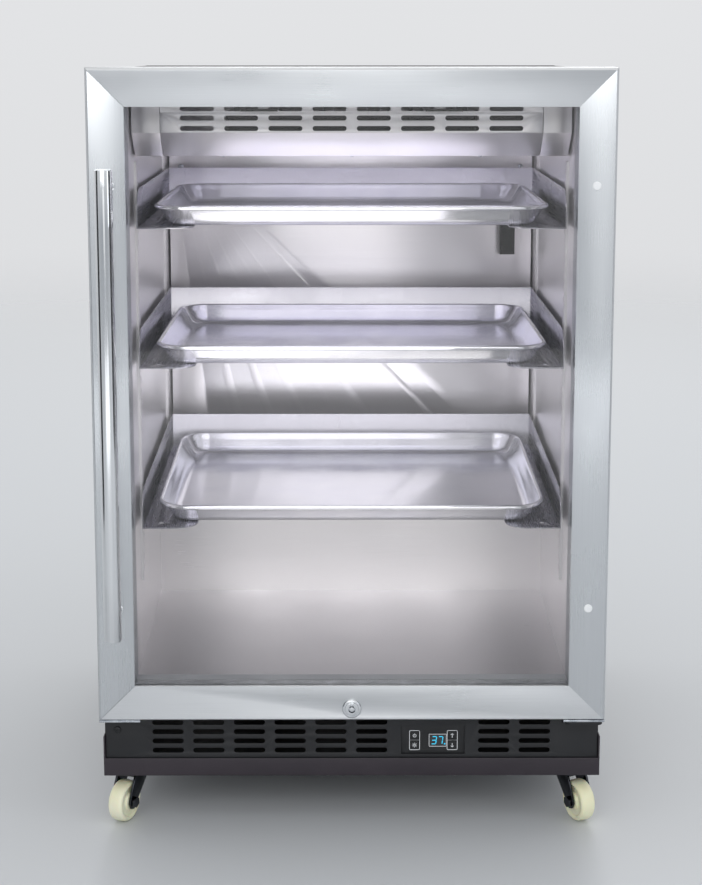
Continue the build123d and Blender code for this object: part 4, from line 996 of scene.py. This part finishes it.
@dataclass
class Screws:
    """Cross-recessed screws of the inner panels, kick panel, hinge and back."""

    paints: Paints
    repeater: Repeater

    def row(self, name: str, places: Sequence[Point], radius_mm: float, finish: str, turn: Point,
            replaced: Optional[str] = None) -> None:
        """One group of screws.

        Args:
            name: Piece name.
            places: Seat of each head.
            radius_mm: Head radius.
            finish: Finish name.
            turn: Euler turn from facing +Z.
            replaced: CAD node that the screws stand for.
        """
        obj = self.repeater.repeat(name, places, screw_template(radius_mm * MM),
                                   self.paints.by_name[finish], turn, 2.0)
        if replaced:
            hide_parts(replaced)
        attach(obj, "cabinet")

    def build(self) -> None:
        """Make every group."""
        to_front = (math.radians(90), 0, 0)
        to_back = (math.radians(-90), 0, 0)
        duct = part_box("duct_cover")
        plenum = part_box("plenum_cover")
        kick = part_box("kick_grille")
        hinge_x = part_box("hinge_brackets")[1].x
        duct_y, plenum_y, kick_y = duct[0].y, plenum[0].y, kick[0].y
        inner = [(s * 0.241, duct_y, z) for s in (-1, 1) for z in (duct[1].z - 0.0395, duct[0].z + 0.018)]
        self.row("duct_cover.screws", inner, 4.0, "zinc_plate", to_front, "panel_screws")
        lip = [(s * 0.1535, plenum_y + 0.036, plenum[0].z) for s in (-1, 0, 1)]
        self.row("plenum_cover.screws", lip, 2.6, "zinc_plate", (math.radians(180), 0, 0))
        kick_places = [(-0.283, kick_y, kick[1].z - 0.022)]
        self.row("kick_grille.screw", kick_places, 4.5, "charcoal_powder_coat", to_front)
        bracket_y = kick_y - 0.0015
        bracket = [(hinge_x - dx, bracket_y, kick[1].z - 0.0095) for dx in (0.033, 0.015)]
        self.row("hinge_brackets.screws", bracket, 2.6, "zinc_plate", to_front)
        low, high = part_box("rear_cover")
        back_y = high.y
        rear = [(x, back_y, z) for x in (-0.28, -0.1, 0.1, 0.28) for z in (low.z + 0.008, high.z - 0.007)]
        self.row("rear_cover.screws", rear, 4.0, "zinc_plate", to_back)
        LOG.info("screws set")


class CadFinishes:
    """Finishes of the CAD nodes that show as they are."""

    EASED = (  # finish, edge radius in mm, nodes
        ("door_steel_across", 0.7, "door_rail_top door_rail_bottom"),
        ("door_steel_upright_shaded", 0.7, "door_stile_left door_stile_right"),
        ("plum_black_band", 0.6, "kick_band"),
        ("charcoal_powder_coat", 0.35, "kick_grille rear_cover"),
        ("charcoal_powder_coat", 0.4, "hinge_brackets"),
        ("zinc_plate", 0.5, "corner_strips"),
        ("zinc_plate", 0.4, "caster_plates"),
        ("zinc_plate", 0.3, "strike_plate"),
        ("rack_steel_painted_shade", 0.3, "rack_top rack_middle rack_bottom"),
        ("liner_steel", 0.25, "plenum_cover duct_cover"),
        ("bright_chrome", 0.3, "lock_body"),
        ("bright_chrome", 0.2, "lock_cylinder"),
        ("case_powder_coat", 0.3, "outer_case"),
        ("black_abs", 0.6, "cord_inlet"),
        ("black_abs", 0.4, "control_housing"),
        ("black_abs", 0.3, "button_power button_light button_up button_down"),
        ("handle_steel", 0.3, "handle_posts"),
        ("white_abs", 0.2, "plug_caps"),
        ("chrome_painted_dark", 0.4, "caster_fork_front_left caster_fork_front_right"),
        ("chrome_painted_dark", 0.4, "caster_fork_rear_left caster_fork_rear_right"),
    )
    PLAIN = (  # finish, nodes
        ("pu_foam", "insulation"),
        ("liner_steel", "liner front_collar pilasters"),
        ("black_abs", "light_modules fan_motors sensor_cover"),
        ("fin_aluminium", "evaporator_coil condenser_coil glass_spacer"),
        ("fan_plastic", "circulation_rotor condenser_fan"),
        ("heater_steel", "heater_rod"),
        ("float_glass", "outer_glass inner_glass"),
        ("grey_abs", "door_liner"),
        # the base tray takes the black case coat as painted shade, so that the space behind the kick louvres shows
        # black
        ("case_powder_coat", "base_tray"),
        ("screen_glass", "display"),
        ("compressor_enamel", "compressor"),
    )

    def __init__(self, paints: Paints, softener: Softener) -> None:
        """Keep the finishes."""
        self.paints = paints
        self.softener = softener

    def dress(self) -> None:
        """Ease the edges that show and finish every other node."""
        for finish, width, nodes in self.EASED:
            for node in nodes.split():
                self.softener.ease(node, finish, width)
        for finish, nodes in self.PLAIN:
            for node in nodes.split():
                self.paints.put(frame["nodes"][node], finish)


# ---- studio -------------------------------------------------------------------------
class SoftLight(NamedTuple):
    """Rectangular soft light that the camera doesn't see, in metres."""

    name: str
    place: Point
    aim: Point
    size: Pair  # width and height
    radiance: float  # brightness of its face; white paint in an even studio is near 1
    colour: str


SOFTBOXES = (
    SoftLight("softbox_front", (-0.5, -4.2, 2.7), (0, 0, 0.55), (3.4, 1.7), 2.5, "#ffffff"),
    SoftLight("softbox_low", (0.2, -4.6, 0.9), (0, 0, 0.5), (1.5, 1.5), 0.55, "#fffefb"),
    SoftLight("softbox_right", (3.4, -1.6, 1.5), (0, 0, 0.5), (1.4, 2.2), 1.3, "#f4f8ff"),
    SoftLight("softbox_back", (0.4, 3.2, 2.6), (0, 0, 0.7), (2.4, 1.6), 2.0, "#ffffff"),
    SoftLight("floor_card", (0, -2.4, 0.02), (0, -2.3, 1.0), (2.2, 1.3), 0.85, "#fdfdff"),
)
# just inside the glass: name, across, up, height aimed at on the back, size, radiance, colour
CAVITY_PANELS = (
    ("panel_top", -0.04, 0.725, 0.73, (0.36, 0.09), 1.6, "#fffdf8"),
    ("panel_upper", -0.04, 0.55, 0.56, (0.34, 0.17), 1.4, "#fcfaff"),
    ("panel_middle", -0.04, 0.42, 0.44, (0.34, 0.07), 1.5, "#fcfaff"),
    ("panel_lower", 0, 0.29, 0.42, (0.4, 0.1), 0.95, "#fffdfa"),
)
# down into each pan: pan, piece over it, radiance, colour
PAN_BOUNCES = (
    ("pan_top", "plenum_cover", 0.34, "#f4f3ff"),
    ("pan_middle", "pan_top", 0.44, "#f0ecff"),
    ("pan_bottom", "pan_middle", 0.34, "#fbfbff"),
)


@dataclass
class Studio:
    """Pale floor, soft lights and the camera."""

    paints: Paints
    lens: float = 68.53
    camera_mm: Point = (-6.4, -1900.0, 941.0)  # across, in front of the door's face, up
    pitch: float = 8.47
    yaw: float = 0.162
    shift: float = -0.165

    def camera(self) -> None:
        """Make the camera."""
        data = bpy.data.cameras.new("camera")
        data.lens = self.lens
        data.shift_y = self.shift
        obj = link(bpy.data.objects.new("camera", data))
        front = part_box("door_rail_top")[0].y
        x, y, z = self.camera_mm
        obj.location = (x * MM, front + y * MM, z * MM)
        obj.rotation_euler = (math.radians(90 - self.pitch), 0, math.radians(-self.yaw))
        bpy.context.scene.camera = obj

    def area(self, light: SoftLight) -> None:
        """Add a soft light.

        Args:
            light: What it is, where it stands and where it faces.
        """
        data = bpy.data.lights.new(light.name, "AREA")
        data.shape = "RECTANGLE"
        data.size, data.size_y = light.size
        data.energy = light.radiance * math.pi * light.size[0] * light.size[1]
        data.color = srgb(light.colour)[:3]
        obj = link(bpy.data.objects.new(light.name, data))
        obj.location = light.place
        towards = Vector(light.aim) - Vector(light.place)
        obj.rotation_euler = towards.to_track_quat("-Z", "Y").to_euler()
        obj.visible_camera = False

    def world(self) -> None:
        """Even studio surround: light overhead and behind the cabinet, quieter behind the camera."""
        world = bpy.data.worlds.new("studio")
        bpy.context.scene.world = world
        world.use_nodes = True
        tree = world.node_tree
        tree.nodes.clear()
        where = add_node(tree, "ShaderNodeTexCoord").outputs["Generated"]
        parts = add_node(tree, "ShaderNodeSeparateXYZ", links={"Vector": where})
        rise = add_node(tree, "ShaderNodeMapRange", {"From Min": -1.0}, {"Value": parts.outputs["Z"]})
        away = add_node(tree, "ShaderNodeMapRange", {"From Min": -1.0}, {"Value": parts.outputs["Y"]})
        front = ramp(tree, rise.outputs["Result"],
                     ((0.0, srgb("#9a9da1")), (0.46, srgb("#adb1b6")), (0.53, srgb("#c0c3c8")),
                      (0.6, srgb("#cfd2d5")), (0.75, srgb("#f0f1f3")), (1.0, srgb("#ffffff"))))
        behind = ramp(tree, rise.outputs["Result"],
                      ((0.0, srgb("#c4c6c9")), (0.5, srgb("#e2e3e5")), (1.0, srgb("#f6f6f7"))))
        tone = add_node(tree, "ShaderNodeMix", {"data_type": "RGBA"},
                        {0: away.outputs["Result"], 6: front, 7: behind})
        sky = add_node(tree, "ShaderNodeBackground", {"Strength": 1.0}, {"Color": tone.outputs[2]})
        output = add_node(tree, "ShaderNodeOutputWorld")
        tree.links.new(sky.outputs["Background"], output.inputs["Surface"])

    def floor(self) -> None:
        """Large pale floor that fades into the surround, so that no horizon shows."""
        half, fade_from, fade_to = 14.0, 1.2, 6.0
        verts = [(-half, -half, 0), (half, -half, 0), (half, half, 0), (-half, half, 0)]
        obj = mesh_object("floor", verts, [(0, 1, 2, 3)])
        material, tree, output = new_material("studio_floor")
        where = add_node(tree, "ShaderNodeTexCoord").outputs["Object"]
        reach = add_node(tree, "ShaderNodeVectorMath", {"operation": "LENGTH"}, {0: where})
        share = add_node(tree, "ShaderNodeMapRange",
                         {"From Min": fade_from, "From Max": fade_to, "interpolation_type": "SMOOTHSTEP"},
                         {"Value": reach.outputs["Value"]})
        shader = add_node(tree, "ShaderNodeBsdfPrincipled",
                          {"Roughness": 0.45, "Base Color": srgb("#c9cccf")})
        clear = add_node(tree, "ShaderNodeBsdfTransparent")
        fade = add_node(tree, "ShaderNodeMixShader",
                        links={0: share.outputs["Result"], 1: shader.outputs["BSDF"],
                               2: clear.outputs["BSDF"]})
        tree.links.new(fade.outputs["Shader"], output.inputs["Surface"])
        obj.data.materials.append(material)

    def cavity(self) -> None:
        """Soft panels that carry the studio's light in through the glass, and the lamp modules' spread."""
        plenum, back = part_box("plenum_cover"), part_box("duct_cover")[0].y
        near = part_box("front_collar")[1].y - 0.01
        for name, across, up, aimed, size, radiance, colour in CAVITY_PANELS:
            self.area(SoftLight(name, (across, near, up), (0, back, aimed), size, radiance, colour))
        lamp = (0, plenum[0].y + 0.06, plenum[0].z - 0.002)
        self.area(SoftLight("lamps", lamp, (0, back - 0.12, 0.2), (0.4, 0.03), 6.0, "#f6f2ff"))
        size = (0.36, 0.26)
        for node, over, radiance, colour in PAN_BOUNCES:
            low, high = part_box(node)
            mid, roof = (low.y + high.y) / 2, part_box(over)[0].z - 0.004
            self.area(SoftLight(f"bounce_{node}", (0, mid, roof), (0, mid, 0), size, radiance, colour))

    def flags(self) -> None:
        """Dark upright cards off to the sides, unseen themselves, that draw edges in the round steel."""
        out, front, rear, low, high = 1.35, -0.75, -0.2, 0.1, 1.5
        for side, name in ((-1, "flag_left"), (1, "flag_right")):
            x = side * out
            verts = [(x, front, low), (x, rear, low), (x, rear, high), (x, front, high)]
            obj = mesh_object(name, verts, [(0, 1, 2, 3)])
            self.paints.put(obj, "charcoal_powder_coat")
            obj.visible_camera = False
            obj.visible_shadow = False

    def build(self) -> None:
        """Make the whole studio."""
        bpy.context.scene.view_settings.view_transform = "Standard"
        self.camera()
        self.world()
        self.floor()
        self.flags()
        for light in SOFTBOXES:
            self.area(light)
        self.cavity()


def joint_axis(name: str) -> Vector:
    """Axis of a joint in the row frame."""
    axis = next(joint["axis"] for joint in frame["joints"] if joint["name"] == name)
    return Vector(axis)


def main() -> None:
    """Build the looks in order."""
    logging.basicConfig(level=logging.INFO, format="%(name)s %(message)s")
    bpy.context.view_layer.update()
    paints = Paints(FINISHES)
    Studio(paints).build()
    CadFinishes(paints, Softener(paints)).dress()
    for level in ("top", "middle", "bottom"):
        axis = joint_axis(f"pan_{level}_slide")
        SheetPan(f"pan_{level}", f"pan_{level}", math.atan2(axis.z, axis.y)).build(paints)
    for place in ("front_left", "front_right", "rear_left", "rear_right"):
        CasterWheel(place).build(paints, joint_axis(f"roll_{place}"))
    PullHandle().build(paints)
    Gasket().build(paints)
    Controls(paints).build()
    Screws(paints, Repeater()).build()


if __name__ == "__main__":
    main()
